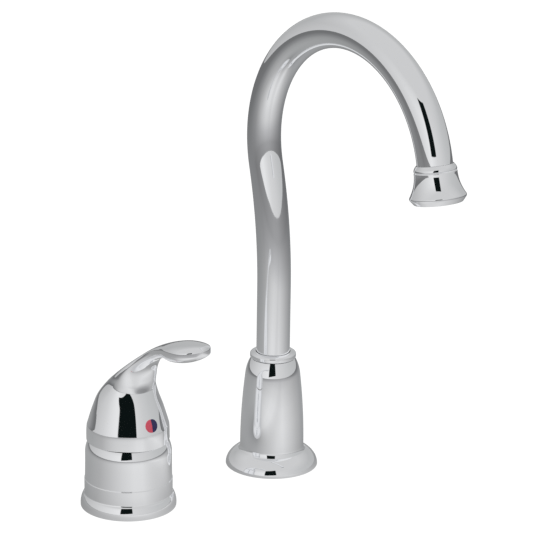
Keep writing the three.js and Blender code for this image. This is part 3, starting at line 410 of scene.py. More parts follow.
brim = [*arc((18.45, 0), (7.8, 7.8), (0.02, 0.56), 14), *arc((14.72, -2.33), (12.2, 12.2), (0.6, 1.19), 14)]
low, high = np.linspace(9.05, FLARE_TOP, 14), np.linspace(13.5, 54, 24)
flare = np.column_stack([base_radius(FLARE_TOP) + 0.094 * (FLARE_TOP - low) ** 2, low])
wall = np.column_stack([base_radius(high), high])
centre = (base_radius(SHOULDER_Z) - SHOULDER_R * math.cos(SHOULDER_START),
          SHOULDER_Z - SHOULDER_R * math.sin(SHOULDER_START))
shoulder = arc(centre, (SHOULDER_R, SHOULDER_R), (SHOULDER_START, 0.531), 16)
inside = [(11.35, 62.2), (12.9, 62.2), (12.9, 57), (14.0, 48), (15.9, 26), (16.25, 8), (23.2, 4.9), (23.2, 0)]
base = rounded([(26.25, 0.0, 0.1), *brim, *flare, *wall, *shoulder, (11.35, 64.1, 0.2), *inside])
stand_for("spout_base", chrome, turned(base), crease=35)

# %% Spout collar
COLLAR_BORE, COLLAR_FOOT, COLLAR_SEAT = 9.85, 56, 64.4
dome = arc((COLLAR_BORE, 66.3), (3.2, 1.5), (0, 1.5), 14)
collar = rounded([
    (11.0, COLLAR_FOOT), (11.0, COLLAR_SEAT), (12.75, COLLAR_SEAT, 0.1), (13.05, 64.8, 0.25), *dome,
    (COLLAR_BORE, 67.8, 0.1), (COLLAR_BORE, COLLAR_FOOT)])
stand_for("spout_collar", chrome, turned(collar))

# %% [markdown]
# ## The valve's casing
# A plain drum with a rounded foot and a round shoulder. A little below the middle it has a step so slight
# that it only shows as a line in the reflection. The fillet above the foot curves the other way, which its
# negative radii say.

# %% Valve casing
foot = [*arc((14.05, 1.2), (12.4, 12), (0, 0.5), 18), *arc((25.9, 8.25), (-1.6, -1.6), (0.72, 0), 10)]
step = [(24.3, 15.85, 0.15), (24.0, 16.2, 0.15), (23.85, 25, 2.0)]
shoulder = arc((9.85, 30.97), (14, 14), (0.04, 0.5335), 20)
inside = [(19.2, 34.8), (17, 34.8), (17, 33.4), (21.8, 33.4), (21.8, 4.9), (23.35, 4.9), (23.35, 0)]
casing = rounded([(26.4, 0, 0.1), *foot, *step, *shoulder, (19.2, 38.1, 0.2), *inside])
stand_for("valve_casing", chrome, turned(casing, axis=VALVE_AXIS), crease=35)

# %% [markdown]
# ## The handle
# One casting from skirt to fingertip. It starts as a round dome; then, at a crease, the front stops being
# dome and becomes the hollow underside of the lever, while the back runs on smoothly. Such a shape could be
# modelled by hand with Subdivision Surface, but its reflections would wobble with every control point. Here
# each cross-section is made of two half ellipses that share their ends: one over the back, one under the
# front, and the front's curve is broken at the crease.

# %% Sections of the handle, in millimetres
SKIRT_R, SKIRT_EDGE = 23.1, 38.7
# (back), (edge), half width, (front or underside), each point as (front, height)
SECTIONS = [
    ((-SKIRT_R, SKIRT_EDGE), (0, SKIRT_EDGE), SKIRT_R, (SKIRT_R, SKIRT_EDGE)),
    ((-SKIRT_R, 43), (0, 43), SKIRT_R, (SKIRT_R, 43)),
    ((-22.9, 46.4), (0, 46.4), 22.9, (22.9, 46.4)),
    ((-22.4, 48.3), (0, 48.3), 22.4, (22.4, 48.3)),
    ((-19.7, 57), (0, 57), 19.7, (19.7, 57)),
    ((-16.5, 64.4), (0.4, 64.2), 17, (17, 63.4)),
    ((-10.6, 71.6), (4.2, 72.2), 13.7, (14.3, 68.7)),
    ((-2.8, 77.6), (6.2, 77.8), 12.7, (13.55, 74.4)),
    ((6.6, 84.5), (11.2, 84.2), 11, (14.6, 81.4)),
    ((15.8, 91.4), (18.7, 91), 8.4, (20.2, 87.6)),
    ((26.5, 98.8), (28.2, 97.8), 6.6, (28.6, 92.6)),
    ((37.3, 104.3), (38, 101.4), 8.2, (38, 96)),
    ((47, 107.6), (48, 104.2), 11.3, (48, 96.6)),
    ((57, 108.9), (57.5, 105.4), 11.1, (57.8, 99.2)),
    ((63.3, 108.7), (63.6, 106.2), 6.6, (64, 102.6)),
    ((65.8, 107), (65.8, 106.5), 1.2, (65.8, 105.2)),
]
CREASE = 6  # the number of the section where the dome's front ends
print(len(SECTIONS), "sections, crease at", SECTIONS[CREASE][3])


# %% [markdown]
# Between two sections every measure runs on along a smooth curve. A Catmull-Rom curve is used because it
# goes through each section exactly, so that a number in the list is a size on the handle.


# %% Curves through the sections
def smooth_through(points, at):
    """Catmull-Rom curve: between points 1 and 2 it is the cubic that leaves and arrives with half the step
    from the point before to the point after. The end points stand in for the ones that are missing."""
    p = np.atleast_2d(np.array(points, float).T).T
    last = len(p) - 1
    i = np.clip(np.floor(at).astype(int), 0, last - 1)
    t = (at - i)[:, None]
    p0, p1, p2, p3 = (p[np.clip(i + k, 0, last)] for k in (-1, 0, 1, 2))
    v1, v2 = (p2 - p0) / 2, (p3 - p1) / 2
    return (2 * p1 - 2 * p2 + v1 + v2) * t**3 + (-3 * p1 + 3 * p2 - 2 * v1 - v2) * t**2 + v1 * t + p1


def handle_curves(at):
    """Back, edge, underside and half width at the places at, counted in sections. The dome's front runs on
    past the crease by one more step like its last, so that it doesn't bend towards the hollow before it
    gets there."""
    back, edge, half = (smooth_through([s[k] for s in SECTIONS], at) for k in range(3))
    dome_front = np.array([s[3] for s in SECTIONS[: CREASE + 1]])
    front = smooth_through([*dome_front, 2 * dome_front[-1] - dome_front[-2]], at[at <= CREASE])
    hollow = smooth_through([s[3] for s in SECTIONS[CREASE:]], at[at > CREASE] - CREASE)
    return back, edge, np.vstack([front, hollow]), half


# %% [markdown]
# Now the half ellipses are laid over the curves. Two small things make the reflections those of the real
# casting: the lever's edge has a thickness, and the dome is a little flatter beside its front than a round
# one.

# %% The handle's outside
EDGE_THICKNESS, NARROW = 1.6, 4  # the lever's edge thins out where it is less than twice NARROW wide
FLAT_AT, FLAT_REACH, FLAT_DRIFT = 43, 30, 0.3  # degrees from the front, and degrees more per section
FLAT_DEPTH, DOME_R = 0.9, 22
FLAT_SHARE = ([0, 1, CREASE, CREASE + 0.6], [0.8, 1, 1.22, 0])  # at these sections, this much of the depth


def flattened(at, a):
    """The share by which the dome is drawn in beside its front: depth / radius, times cosine squared over
    FLAT_REACH degrees to each side of FLAT_AT."""
    off = np.abs(np.degrees(a) - 90) - FLAT_AT - FLAT_DRIFT * np.minimum(at, CREASE)[:, None]
    hump = np.cos(np.clip(off / FLAT_REACH, -1, 1) * np.pi / 2) ** 2
    return hump * (FLAT_DEPTH / DOME_R * np.interp(at, *FLAT_SHARE)[:, None])


# %% From curves to rings
def handle_rings(per_section=22, half_sides=56):
    """Over the back: edge + (back - edge) sin a, with half the width times cos a across. Under the front:
    the same from the edge, lowered by the lever's edge thickness, to the underside."""
    last = len(SECTIONS) - 1
    at = np.linspace(0, last, last * per_section + 1)
    back, edge, under, half = handle_curves(at)
    up = (back - edge) / np.linalg.norm(back - edge, axis=1)[:, None]
    thick = EDGE_THICKNESS * np.clip(at - CREASE, 0, 1)[:, None] * np.minimum(1, half / NARROW)
    lower = edge - up * thick
    a = np.linspace(0, np.pi, half_sides + 1)
    over = edge[:, None] + (back - edge)[:, None] * np.sin(a)[None, :, None]
    below = lower[:, None] + (under - lower)[:, None] * np.sin(a)[None, :, None]
    side, cut = half * np.cos(a)[None, :], flattened(at, a)
    below -= (below - edge[:, None]) * cut[..., None]
    profile, across = np.concatenate([over, below], 1), np.concatenate([side, -side * (1 - cut)], 1)
    return np.stack([across - HOLE_SPACING, -profile[..., 0], profile[..., 1]], -1)


outside = handle_rings()
print("handle's outside", outside.shape[0], "rings of", outside.shape[1], "points")

# %% [markdown]
# The casting is hollow. Its core was round, so the inside is turned, but on the same angles as the skirt's
# own rings, because inside and outside meet point by point at the rim. Behind the valve's axis the rim
# slopes up. Without that relief it would strike the casing when the handle is lifted.

# %% The handle's inside and rim
RELIEF_FROM, RELIEF_SLOPE = 16, math.tan(math.radians(16))
inner = np.array([(21.3, SKIRT_EDGE), (21.3, 43), (20, 49.5), (17.4, 57), (13.5, 62), (6, 65.5), (0.02, 66)])
angles = np.arctan2(outside[0, :, 1], outside[0, :, 0] + HOLE_SPACING)
inside = around(VALVE_AXIS, inner[:, :1], angles, inner[:, 1:])


def shrunk(ring):
    """All points of a ring moved to their mean, which closes the end of a grid."""
    return ring.mean(1, keepdims=True) + 0 * ring


rings = np.concatenate([shrunk(outside[-1:]), outside[::-1], inside, shrunk(inside[-1:])])
behind = np.clip(rings[..., 1] - RELIEF_FROM, 0, None)
rings[..., 2] = np.maximum(rings[..., 2], SKIRT_EDGE + behind * RELIEF_SLOPE)
stand_for("handle_casting", chrome, rings, looped=False, crease=38)

# %% [markdown]
# ## The hot and cold button
# A plug of gloss plastic closes the hole over the handle's set screw. The half on the hot side is red and
# the other is dark blue. One moulding in two colours is one piece here as well: the colour changes with the
# place across, within a tenth of a millimetre. The moulding's faint orange peel has grains of about a
# millimetre.

# %% Button plastic
SEAM, PEEL = 0.05 * MM, 10 / 9  # the seam's half width, and the peel's grain in mm
button_plastic, tree = new_material("two_colour_gloss_plastic")
place = put(tree, "ShaderNodeTexCoord").outputs["Object"]
across = put(tree, "ShaderNodeSeparateXYZ", {"Vector": place}).outputs["X"]
middle = -HOLE_SPACING * MM
cold = put(tree, "ShaderNodeMapRange", {"Value": across, "From Min": middle - SEAM,
                                        "From Max": middle + SEAM})
colour = put(tree, "ShaderNodeMix", {"Factor": cold.outputs["Result"], "A": linear("#c5485a"),
                                     "B": linear("#1f1a4d")}, data_type="RGBA")
moulding = put(tree, "ShaderNodeTexNoise", {"Vector": place, "Scale": patches(PEEL), "Detail": 2.0})
relief = put(tree, "ShaderNodeBump", {"Height": moulding.outputs["Fac"], "Strength": 0.05,
                                      "Distance": 0.1 * MM})
gloss = put(tree, "ShaderNodeBsdfPrincipled", {"Base Color": colour.outputs["Result"], "Roughness": 0.25,
                                               "Normal": relief.outputs["Normal"]})
put(tree, "ShaderNodeOutputMaterial", {"Surface": gloss.outputs["BSDF"]})
print(button_plastic.name, len(tree.nodes), "nodes")

# %% [markdown]
# The button lies in a hole that is square to the dome. So its outline is turned on its own axis, and that
# axis is tilted back: out is the way along it and up the way across it, each shared between y and z by the
# tilt.

# %% Button
BUTTON_R, BUTTON_FRONT, BUTTON_HEIGHT, BUTTON_TILT = 3.9, -21.35, 52, math.radians(17)
plug = rounded([(0.001, -3.5), (BUTTON_R, -3.5), (BUTTON_R, -0.1, 0.35), (0.001, 0.35, 0.0)])
a = whole_turn(96)
up, out = plug[:, :1] * np.cos(a), plug[:, 1:] + 0 * a
c, s = math.cos(BUTTON_TILT), math.sin(BUTTON_TILT)
disc = np.stack([plug[:, :1] * np.sin(a) - HOLE_SPACING, BUTTON_FRONT - out * c + up * s,
                 BUTTON_HEIGHT + out * s + up * c], -1)
stand_for("indicator_button", button_plastic, disc, looped=False)

# %% [markdown]
# ## Under the deck
# What holds the tap down is plumbing stock: threaded shanks, chamfered nuts, washers, a barbed nipple, and
# three copper tubes with their unions. None of it shows from the camera, but it is what a hand finds below
# the sink. A thread could be a picture of a thread on a plain cylinder. Real grooves cost little here,
# because a grid of rings only needs its radius changed, and they keep their shape from any side.

# %% Threads
SIDES = 96  # round anything under the deck; a multiple of six, so that a nut's corners fall on points
ROWS_PER_PITCH, THREAD_FLAT, RUN_OUT = 8, 0.125, 1.5  # the last two in pitches


def threaded(radius, low, high, pitch, depth, axis=SPOUT_AXIS, start=0.0):
    """Rings of a right-hand thread. With phase = height / pitch - angle / full turn, the groove is a
    triangle wave of the phase with its tips cut off. The lower end is chamfered, and the thread runs out at
    the top."""
    z = np.arange(low, high, pitch / ROWS_PER_PITCH)[:, None]
    a = whole_turn(SIDES, start)
    phase = (z / pitch - a / (2 * np.pi)) % 1
    groove = np.clip((1 + 2 * THREAD_FLAT) * (1 - np.abs(2 * phase - 1)) - THREAD_FLAT, 0, 1)
    groove = groove * np.clip((high - z) / (RUN_OUT * pitch), 0, 1)
    r = np.minimum(radius - depth * groove, radius - depth + (z - low))
    return around(axis, r, a, z)


# %% [markdown]
# A nut's faces are flat, and a cone takes off its corners at both ends. Where the cone meets a flat it leaves
# the curved edge that every real nut has. A plain six-sided prism would look like a toy.

# %% Nuts
NUT_CHAMFER, CHAMFER_START = math.tan(math.radians(30)), 0.95
NO_SLIP = 1e-9  # keeps the point at a corner from counting as the end of the flat before it


def hexagon(across_flats, low, high, axis=SPOUT_AXIS, start=0.0):
    """Outside rings of a nut with a corner at start and every 60 degrees on. At angle a the flat stands at
    half the width over cos(a from the middle of the flat). A cone of 30 degrees that starts at 95 % of the
    width cuts the corners, and it meets the flat at (flat - cone's start) tan 30 from the end."""
    a = whole_turn(SIDES, start)
    past_corner = (a - start + NO_SLIP) % (np.pi / 3)
    flat = across_flats / 2 / np.cos(past_corner - np.pi / 6)
    circle = 0 * a + CHAMFER_START / 2 * across_flats
    drop = (flat - circle) * NUT_CHAMFER
    z = np.stack([0 * a + low, low + drop, high - drop, 0 * a + high])
    return around(axis, np.stack([circle, flat, flat, circle]), a, z)


# %% [markdown]
# The spout's post is one long turned bar: a half-inch pipe thread of 14 to the inch below the deck, a
# flange on it, and a sleeve that the spout turns in. The valve's shank is a wider tube, so that three
# supply tubes pass through it. Each is one grid: the thread's rings, and then the rest of its outline, down
# the bore and round.

# %% Spout post, valve shank and nipple
ROUND = 0.25  # a turned edge that has been broken with a file
SPOUT_SHANK, VALVE_SHANK, VALVE_SHANK_BORE = 10.4, 15.8, 13.4
POST_END, SHANK_END = -75, -58
post_above = rounded([
    (SPOUT_SHANK, -17.9), (SPOUT_SHANK, 1.8), (22.6, 1.8, ROUND), (22.6, 4.6, ROUND), (13.6, 6.6, 1.5),
    (12.6, 9.1), (12.6, 61.9, ROUND), (11.6, 61.9, ROUND), (11.6, 44.4), (10.2, 44.4), (10.2, 24.0),
    (6.4, 22.0), (6.4, POST_END)])
stand_for("spout_post", brass, crease=30, rings=np.concatenate([
    threaded(SPOUT_SHANK, POST_END, -18, pitch=1.814, depth=0.95), turned(post_above, SIDES)]))
shank_above = [(VALVE_SHANK, -15.9), (VALVE_SHANK, 7.7), (VALVE_SHANK_BORE, 7.7),
               (VALVE_SHANK_BORE, SHANK_END)]
stand_for("valve_shank", brass, crease=30, rings=np.concatenate([
    threaded(VALVE_SHANK, SHANK_END, -16, pitch=1.5, depth=0.85, axis=VALVE_AXIS),
    turned(shank_above, SIDES, VALVE_AXIS)]))
barbs = [(6.0, -87.0, 0.1), (5.2, -87.0), (6.0, -82.0, 0.1), (5.2, -82.0)]
nipple = rounded([
    (3.6, -92.0), (5.2, -92.0), *barbs, (5.2, -79.0), (9.4, -79.0, ROUND), (9.4, -75.3, ROUND),
    (6.1, -75.3), (6.1, -67.0), (3.6, -67.0)])
stand_for("spout_inlet_nipple", brass, turned(nipple, SIDES), crease=30)

# %% [markdown]
# Under the deck each shank has a rubber washer against the deck, a steel one that lets the nut slide on it,
# and the nut. Spout and valve have the same set in two sizes, so one loop makes both.

# %% Washers and mounting nuts
WASHERS = (("rubber", rubber, -21.8, -20.0), ("steel", steel, -23.6, -22.1))
NUT_LOW, NUT_HIGH, NUT_MOUTH, HAIR = -32.9, -23.9, 0.9, 0.01  # a nut is a hair smaller than the CAD's
CLEARANCE = 0.3  # between a shank and what slides over it
# name, shank's radius, how far a washer reaches past the shank, the nut's wall, axis
MOUNTINGS = (("spout", SPOUT_SHANK, 11.6, 4.6, SPOUT_AXIS), ("valve", VALVE_SHANK, 8.2, 5.2, VALVE_AXIS))
for name, shank, reach, wall, axis in MOUNTINGS:
    bore, outer = shank + CLEARANCE, shank + reach
    for kind, material, low, high in WASHERS:
        washer = rounded([(bore, low, 0.1), (outer, low, 0.3), (outer, high, 0.3), (bore, high, 0.1)])
        stand_for(f"{name}_{kind}_washer", material, turned(washer, SIDES, axis), crease=30)
    nut_bore = [(bore + NUT_MOUTH, NUT_HIGH), (bore, NUT_HIGH - NUT_MOUTH), (bore, NUT_LOW + NUT_MOUTH),
                (bore + NUT_MOUTH, NUT_LOW)]
    nut = hexagon(2 * (shank + wall) - HAIR, NUT_LOW, NUT_HIGH, axis)
    stand_for(name + "_mounting_nut", brass, np.concatenate([nut, turned(nut_bore, SIDES, axis)]), crease=25)

# %% [markdown]
# The supply tubes come down through the shank side by side and then splay out, so that a spanner fits round
# each union. A bend that starts and ends without a kink is half a cosine wave.

# %% Supply tubes
SUPPLY_SPOTS = {"hot_inlet": 210, "cold_inlet": 330, "outlet": 90}  # degrees round the valve's axis
SUPPLY_R, SUPPLY_WALL, SUPPLY_OFFSET, SPLAY = 4.76, 0.9, 7.2, 9.5
SPLAY_LOW, SPLAY_HIGH, SUPPLY_END, SUPPLY_TOP = -78.0, -60.0, -90.0, 11.7


def supply_rings(spot, radius, sides=48):
    """The tube's distance from the axis falls by SPLAY (1 + cos(pi s)) / 2 as s goes from 0 to 1 up the
    bend. Each ring is square to the tube: one arm lies across the plane of the bend and the other is the
    slope turned a quarter."""
    z = np.concatenate([[SUPPLY_END], np.linspace(SPLAY_LOW, SPLAY_HIGH, 25), [SUPPLY_TOP]])
    s = np.clip((z - SPLAY_LOW) / (SPLAY_HIGH - SPLAY_LOW), 0, 1)
    away = SUPPLY_OFFSET + SPLAY * (1 + np.cos(np.pi * s)) / 2
    slope = -SPLAY * np.pi / 2 * np.sin(np.pi * s) / (SPLAY_HIGH - SPLAY_LOW)
    tilt = np.arctan(slope)[:, None]
    a = whole_turn(sides)
    along, across = radius * np.cos(a), radius * np.sin(a)
    away, z = away[:, None] + along * np.cos(tilt), z[:, None] - along * np.sin(tilt)
    c, s = math.cos(spot), math.sin(spot)
    return np.stack([VALVE_AXIS[0] + away * c - across * s, VALVE_AXIS[1] + away * s + across * c, z], -1)


# %% [markdown]
# A union is one bar of brass: a threaded end, a neck, a hexagon for the spanner, and the socket for the
# tube. Its grid follows the outside up and the bore back down.

# %% Tubes and their unions
UNION_R, UNION_BORE, TUBE_SOCKET = 7.4, 3.2, SUPPLY_R + CLEARANCE
UNION_LOW, UNION_NUT_LOW, UNION_NUT_HIGH = -102.3, -90.8, -82.8
union_neck = [(UNION_R, -91.5), (UNION_R, UNION_NUT_LOW)]
union_bore = [(5.5, UNION_NUT_HIGH), (TUBE_SOCKET, -83.3), (TUBE_SOCKET, -90.3), (UNION_BORE, -90.3),
              (UNION_BORE, UNION_LOW)]
for name, degrees_round in SUPPLY_SPOTS.items():
    spot, away = math.radians(degrees_round), SUPPLY_OFFSET + SPLAY
    stand_for(name + "_tube", copper, crease=30, rings=np.concatenate([
        supply_rings(spot, SUPPLY_R), supply_rings(spot, SUPPLY_R - SUPPLY_WALL)[::-1]]))
    axis = (VALVE_AXIS[0] + away * math.cos(spot), VALVE_AXIS[1] + away * math.sin(spot))
    stand_for(name + "_fitting", brass, crease=25, rings=np.concatenate([
        threaded(UNION_R, UNION_LOW, -91.8, 1.41, 0.6, axis, spot), turned(union_neck, SIDES, axis, spot),
        hexagon(16.0, UNION_NUT_LOW, UNION_NUT_HIGH, axis, spot), turned(union_bore, SIDES, axis, spot)]))

# %% [markdown]
# ## Sealing rings
# Two O-rings seal the swivelling spout and two the cartridge. They are moulded round in section, and each
# sits in its groove. A circle turned round the axis makes one.

# %% Sealing rings
# name, radius to the middle of the section, the section's radius, height, axis
O_RINGS = (("hub_o_ring_lower", 8.95, 0.9, 31.0, SPOUT_AXIS),
           ("hub_o_ring_upper", 8.95, 0.9, 38.4, SPOUT_AXIS),
           ("cartridge_o_ring_lower", 11.45, 0.8, 18.4, VALVE_AXIS),
           ("cartridge_o_ring_upper", 11.45, 0.8, 24.6, VALVE_AXIS))
for name, radius, section, z, axis in O_RINGS:
    circle = arc((radius, z), (section, section), (0, 2 * np.pi), 25)[:-1]
    stand_for(name, rubber, turned(circle, SIDES, axis), crease=30)

# %% [markdown]
# ## Finishes for the CAD's parts
# The parts that stay as the CAD made them are all inside the tap, and plain stock materials do for them.
# The list names every part, also those that a new skin stands for, so that it reads as the whole tap's bill
# of materials.

# %% Finish list
FINISH = {
    chrome: ["aerator_housing", "handle_casting", "outlet_bell", "spout_base", "spout_collar", "spout_tube",
             "valve_casing"],
    brass: ["spout_post", "spout_mounting_nut", "spout_inlet_nipple", "spout_hub", "valve_body",
            "valve_shank", "valve_mounting_nut", "hot_inlet_fitting", "cold_inlet_fitting", "outlet_fitting",
            "cartridge_sleeve", "retainer_nut", "pivot_ring", "cartridge_stem"],
    steel: ["spout_steel_washer", "valve_steel_washer", "aerator_screen", "cartridge_clip",
            "pivot_snap_ring", "hinge_pin", "stem_washer", "stem_screw", "handle_yoke", "handle_set_screw"],
    copper: ["hot_inlet_tube", "cold_inlet_tube", "outlet_tube"],
    rubber: ["spout_gasket", "spout_rubber_washer", "valve_gasket", "valve_rubber_washer",
             "hub_o_ring_lower", "hub_o_ring_upper", "cartridge_o_ring_lower", "cartridge_o_ring_upper",
             "aerator_washer"],
    nylon: ["lower_glide_washer", "upper_glide_washer", "aerator_flow_disc"],
    button_plastic: ["indicator_button"],
}
for material, names in FINISH.items():
    for name in names:
        slots = frame["nodes"][name].data.materials
        slots.clear()
        slots.append(material)
print("finished", sum(map(len, FINISH.values())), "of", len(frame["nodes"]), "nodes")

# %% [markdown]
# ## The studio
# Chrome has no look of its own: it shows the room. The room could be built of planes round the tap, but a
# near mirror shows each seam of it. So it is drawn in the world by direction, and it stays where it is when
# the camera moves. Two angles place everything in it: the azimuth round the vertical and the height above
# the horizon, both in degrees.

# %% Where a direction points
CAMERA_SIDE = np.array([-0.632, -0.775])  # the way from the tap to the camera, on the floor
DEGREE = math.pi / 180


def azimuth(tree, vector):
    """Degrees round the vertical, 0 towards the camera's side and positive to its right: the arc tangent of
    the part sideways over the part towards that side."""
    towards = put(tree, "ShaderNodeVectorMath", {0: vector, 1: (*CAMERA_SIDE, 0)}, operation="DOT_PRODUCT")
    sideways = put(tree, "ShaderNodeVectorMath", {0: vector, 1: (-CAMERA_SIDE[1], CAMERA_SIDE[0], 0)},
                   operation="DOT_PRODUCT")
    angle = put(tree, "ShaderNodeMath", {0: sideways.outputs["Value"], 1: towards.outputs["Value"]},
                operation="ARCTAN2")
    return put(tree, "ShaderNodeMath", {0: angle.outputs[0], 1: DEGREE}, operation="DIVIDE").outputs[0]


# %% [markdown]
# A window and a colour ramp over such an angle are all the drawing that the room takes. Both have soft edges,
# as the light on a real wall has.


# %% Windows and ramps
def window(tree, value, low, high, soft):
    """1 between low and high, falling to 0 over soft on both sides: a rising times a falling slope."""
    rising = put(tree, "ShaderNodeMapRange", {"Value": value, "From Min": low - soft, "From Max": low})
    falling = put(tree, "ShaderNodeMapRange", {"Value": value, "From Min": high, "From Max": high + soft,
                                               "To Min": 1.0, "To Max": 0.0})
    return put(tree, "ShaderNodeMath", {0: rising.outputs["Result"], 1: falling.outputs["Result"]},
               operation="MULTIPLY").outputs[0]


def ramp(tree, value, stops):
    """A colour ramp over value. stops are (value, hex colour), and a stop's place on the ramp is its share
    of the way from the first stop to the last."""
    low, high = stops[0][0], stops[-1][0]
    share = put(tree, "ShaderNodeMapRange", {"Value": value, "From Min": low, "From Max": high})
    node = put(tree, "ShaderNodeValToRGB", {"Fac": share.outputs["Result"]})
    places = node.color_ramp.elements
    places[0].color, places[1].color = linear(stops[0][1]), linear(stops[-1][1])
    for at, colour in stops[1:-1]:
        places.new((at - low) / (high - low)).color = linear(colour)
    return node.outputs["Color"]


# %% [markdown]
# Where one mirror shows another, the photograph is paler than this room alone would make it. A ray that has
# met one mirror has a Glossy Depth of 1, and after the second it has 2. So that number less one, held
# between 0 and 1, picks a second tone: light grey towards the left and nearly white towards the right.


# %% Second reflections
def after_second_mirror(tree, ray, first, x, left, right):
    """first for a ray's first mirror; from the second on, a grey that turns to white as x goes from left to
    right. Both are mixed as (1 - share) first + share second."""
    again = put(tree, "ShaderNodeMath", {0: ray.outputs["Glossy Depth"], 1: 1.0}, operation="SUBTRACT",
                use_clamp=True)
    rightwards = put(tree, "ShaderNodeMapRange", {"Value": x, "From Min": left, "From Max": right})
    second = put(tree, "ShaderNodeMix", {"Factor": rightwards.outputs["Result"], "A": linear("#d4d4d4"),
                                         "B": linear("#f4f4f4")}, data_type="RGBA")
    return put(tree, "ShaderNodeMix", {"Factor": again.outputs[0], "A": first, "B": second.outputs["Result"]},
               data_type="RGBA").outputs["Result"]


# %% [markdown]
# The room has three things in it. Round about, a sweep is brightest beside the camera and greyer behind the
# tap. Overhead it goes over into one plain tone. Behind the camera stands a dark panel, whose sides and
# heights place the black strips that tell the eye this is chrome. It leans, as the strips in the photograph
# do.

# %% The room
WHITE = (1, 1, 1, 1)
OVERHEAD_FROM, OVERHEAD_TO = 22.0, 48.0  # degrees of height
PANEL_SIDES, PANEL_HEIGHTS, PANEL_LEAN = (-16.0, 12.0), (7.3, 44.0), -0.15  # the lean in degrees per degree
world = bpy.data.worlds.new("studio")
bpy.context.scene.world = world
world.use_nodes = True
tree = world.node_tree
tree.nodes.clear()
direction = put(tree, "ShaderNodeTexCoord").outputs["Generated"]
part = put(tree, "ShaderNodeSeparateXYZ", {"Vector": direction})
degrees = azimuth(tree, direction)
rise = put(tree, "ShaderNodeMath", {0: part.outputs["Z"]}, operation="ARCSINE")
height = put(tree, "ShaderNodeMath", {0: rise.outputs[0], 1: DEGREE}, operation="DIVIDE").outputs[0]
print("directions", len(tree.nodes), "nodes")

# %% Its sweep and its panel
round_about = ramp(tree, degrees, [
    (-180.0, "#bcbdbd"), (-150, "#b8b9b9"), (-115, "#c6c6c6"), (-85, "#d4d4d4"), (-50, "#e4e4e4"),
    (-20, "#f1f1f1"), (14, "#dedede"), (40, "#d8d8d8"), (80, "#cacbcb"), (130, "#c0c1c1"),
    (180.0, "#bcbdbd")])
overhead = put(tree, "ShaderNodeMapRange", {"Value": height, "From Min": OVERHEAD_FROM,
                                            "From Max": OVERHEAD_TO})
sweep = put(tree, "ShaderNodeMix", {"Factor": overhead.outputs["Result"], "A": round_about,
                                    "B": linear("#d6d6d6")}, data_type="RGBA")
leaning = put(tree, "ShaderNodeMath", {0: degrees, 1: PANEL_LEAN, 2: height}, operation="MULTIPLY_ADD")
panel = put(tree, "ShaderNodeMath", {0: window(tree, degrees, *PANEL_SIDES, soft=1.0),
                                     1: window(tree, leaning.outputs[0], *PANEL_HEIGHTS, soft=0.4)},
            operation="MULTIPLY")
room = put(tree, "ShaderNodeMix", {"Factor": panel.outputs[0], "A": sweep.outputs["Result"],
                                   "B": linear("#0d1414")}, data_type="RGBA").outputs["Result"]
print("room", len(tree.nodes), "nodes")

# %% [markdown]
# Each kind of ray gets its own world: the camera sees plain white, mirrors see the room, and matt surfaces
# are lit by an even pale light.

# %% Who sees which world
ray = put(tree, "ShaderNodeLightPath")
twice = after_second_mirror(tree, ray, room, part.outputs["X"], left=-0.2, right=0.2)
lit = put(tree, "ShaderNodeBackground", {"Color": linear("#e9eaec"), "Strength": 0.85})
seen = put(tree, "ShaderNodeBackground", {"Color": WHITE, "Strength": 1.0})
mirrored = put(tree, "ShaderNodeBackground", {"Color": twice, "Strength": 1.0})
for_metal = put(tree, "ShaderNodeMixShader", {0: ray.outputs["Is Glossy Ray"], 1: lit.outputs[0],
                                              2: mirrored.outputs[0]})
whole = put(tree, "ShaderNodeMixShader", {0: ray.outputs["Is Camera Ray"], 1: for_metal.outputs[0],
                                          2: seen.outputs[0]})
put(tree, "ShaderNodeOutputWorld", {"Surface": whole.outputs[0]})
print("world", len(tree.nodes), "nodes")

# %% [markdown]
# ## The table
# A pale plain surface for the tap to stand on. To the camera it is white and only takes a little of the tap's
# shadow. In the metal it glows with painted shade and painted light, as the reflections in the photograph
# are: painted shade right at the foot, a painted pool of light some 10 cm off, and grey from half a metre on.
# This painted light depends on the distance and the side as seen from each of the tap's two posts, and goes
# over from one post's painted light to the other's between them.

# %% Table top
FLOOR_HALF, FLOOR_BELOW = 4, 0.1 * MM  # metres; just below the deck, so that the two never lie in one plane
floor_mesh = bpy.data.meshes.new("floor")
corners = [(x * FLOOR_HALF, y * FLOOR_HALF, 0) for x, y in ((-1, -1), (1, -1), (1, 1), (-1, 1))]
floor_mesh.from_pydata(corners, [], [(0, 1, 2, 3)])
floor = bpy.data.objects.new("floor", floor_mesh)
bpy.context.scene.collection.objects.link(floor)
floor.location.z = -FLOOR_BELOW
print("table", 2 * FLOOR_HALF, "m wide")
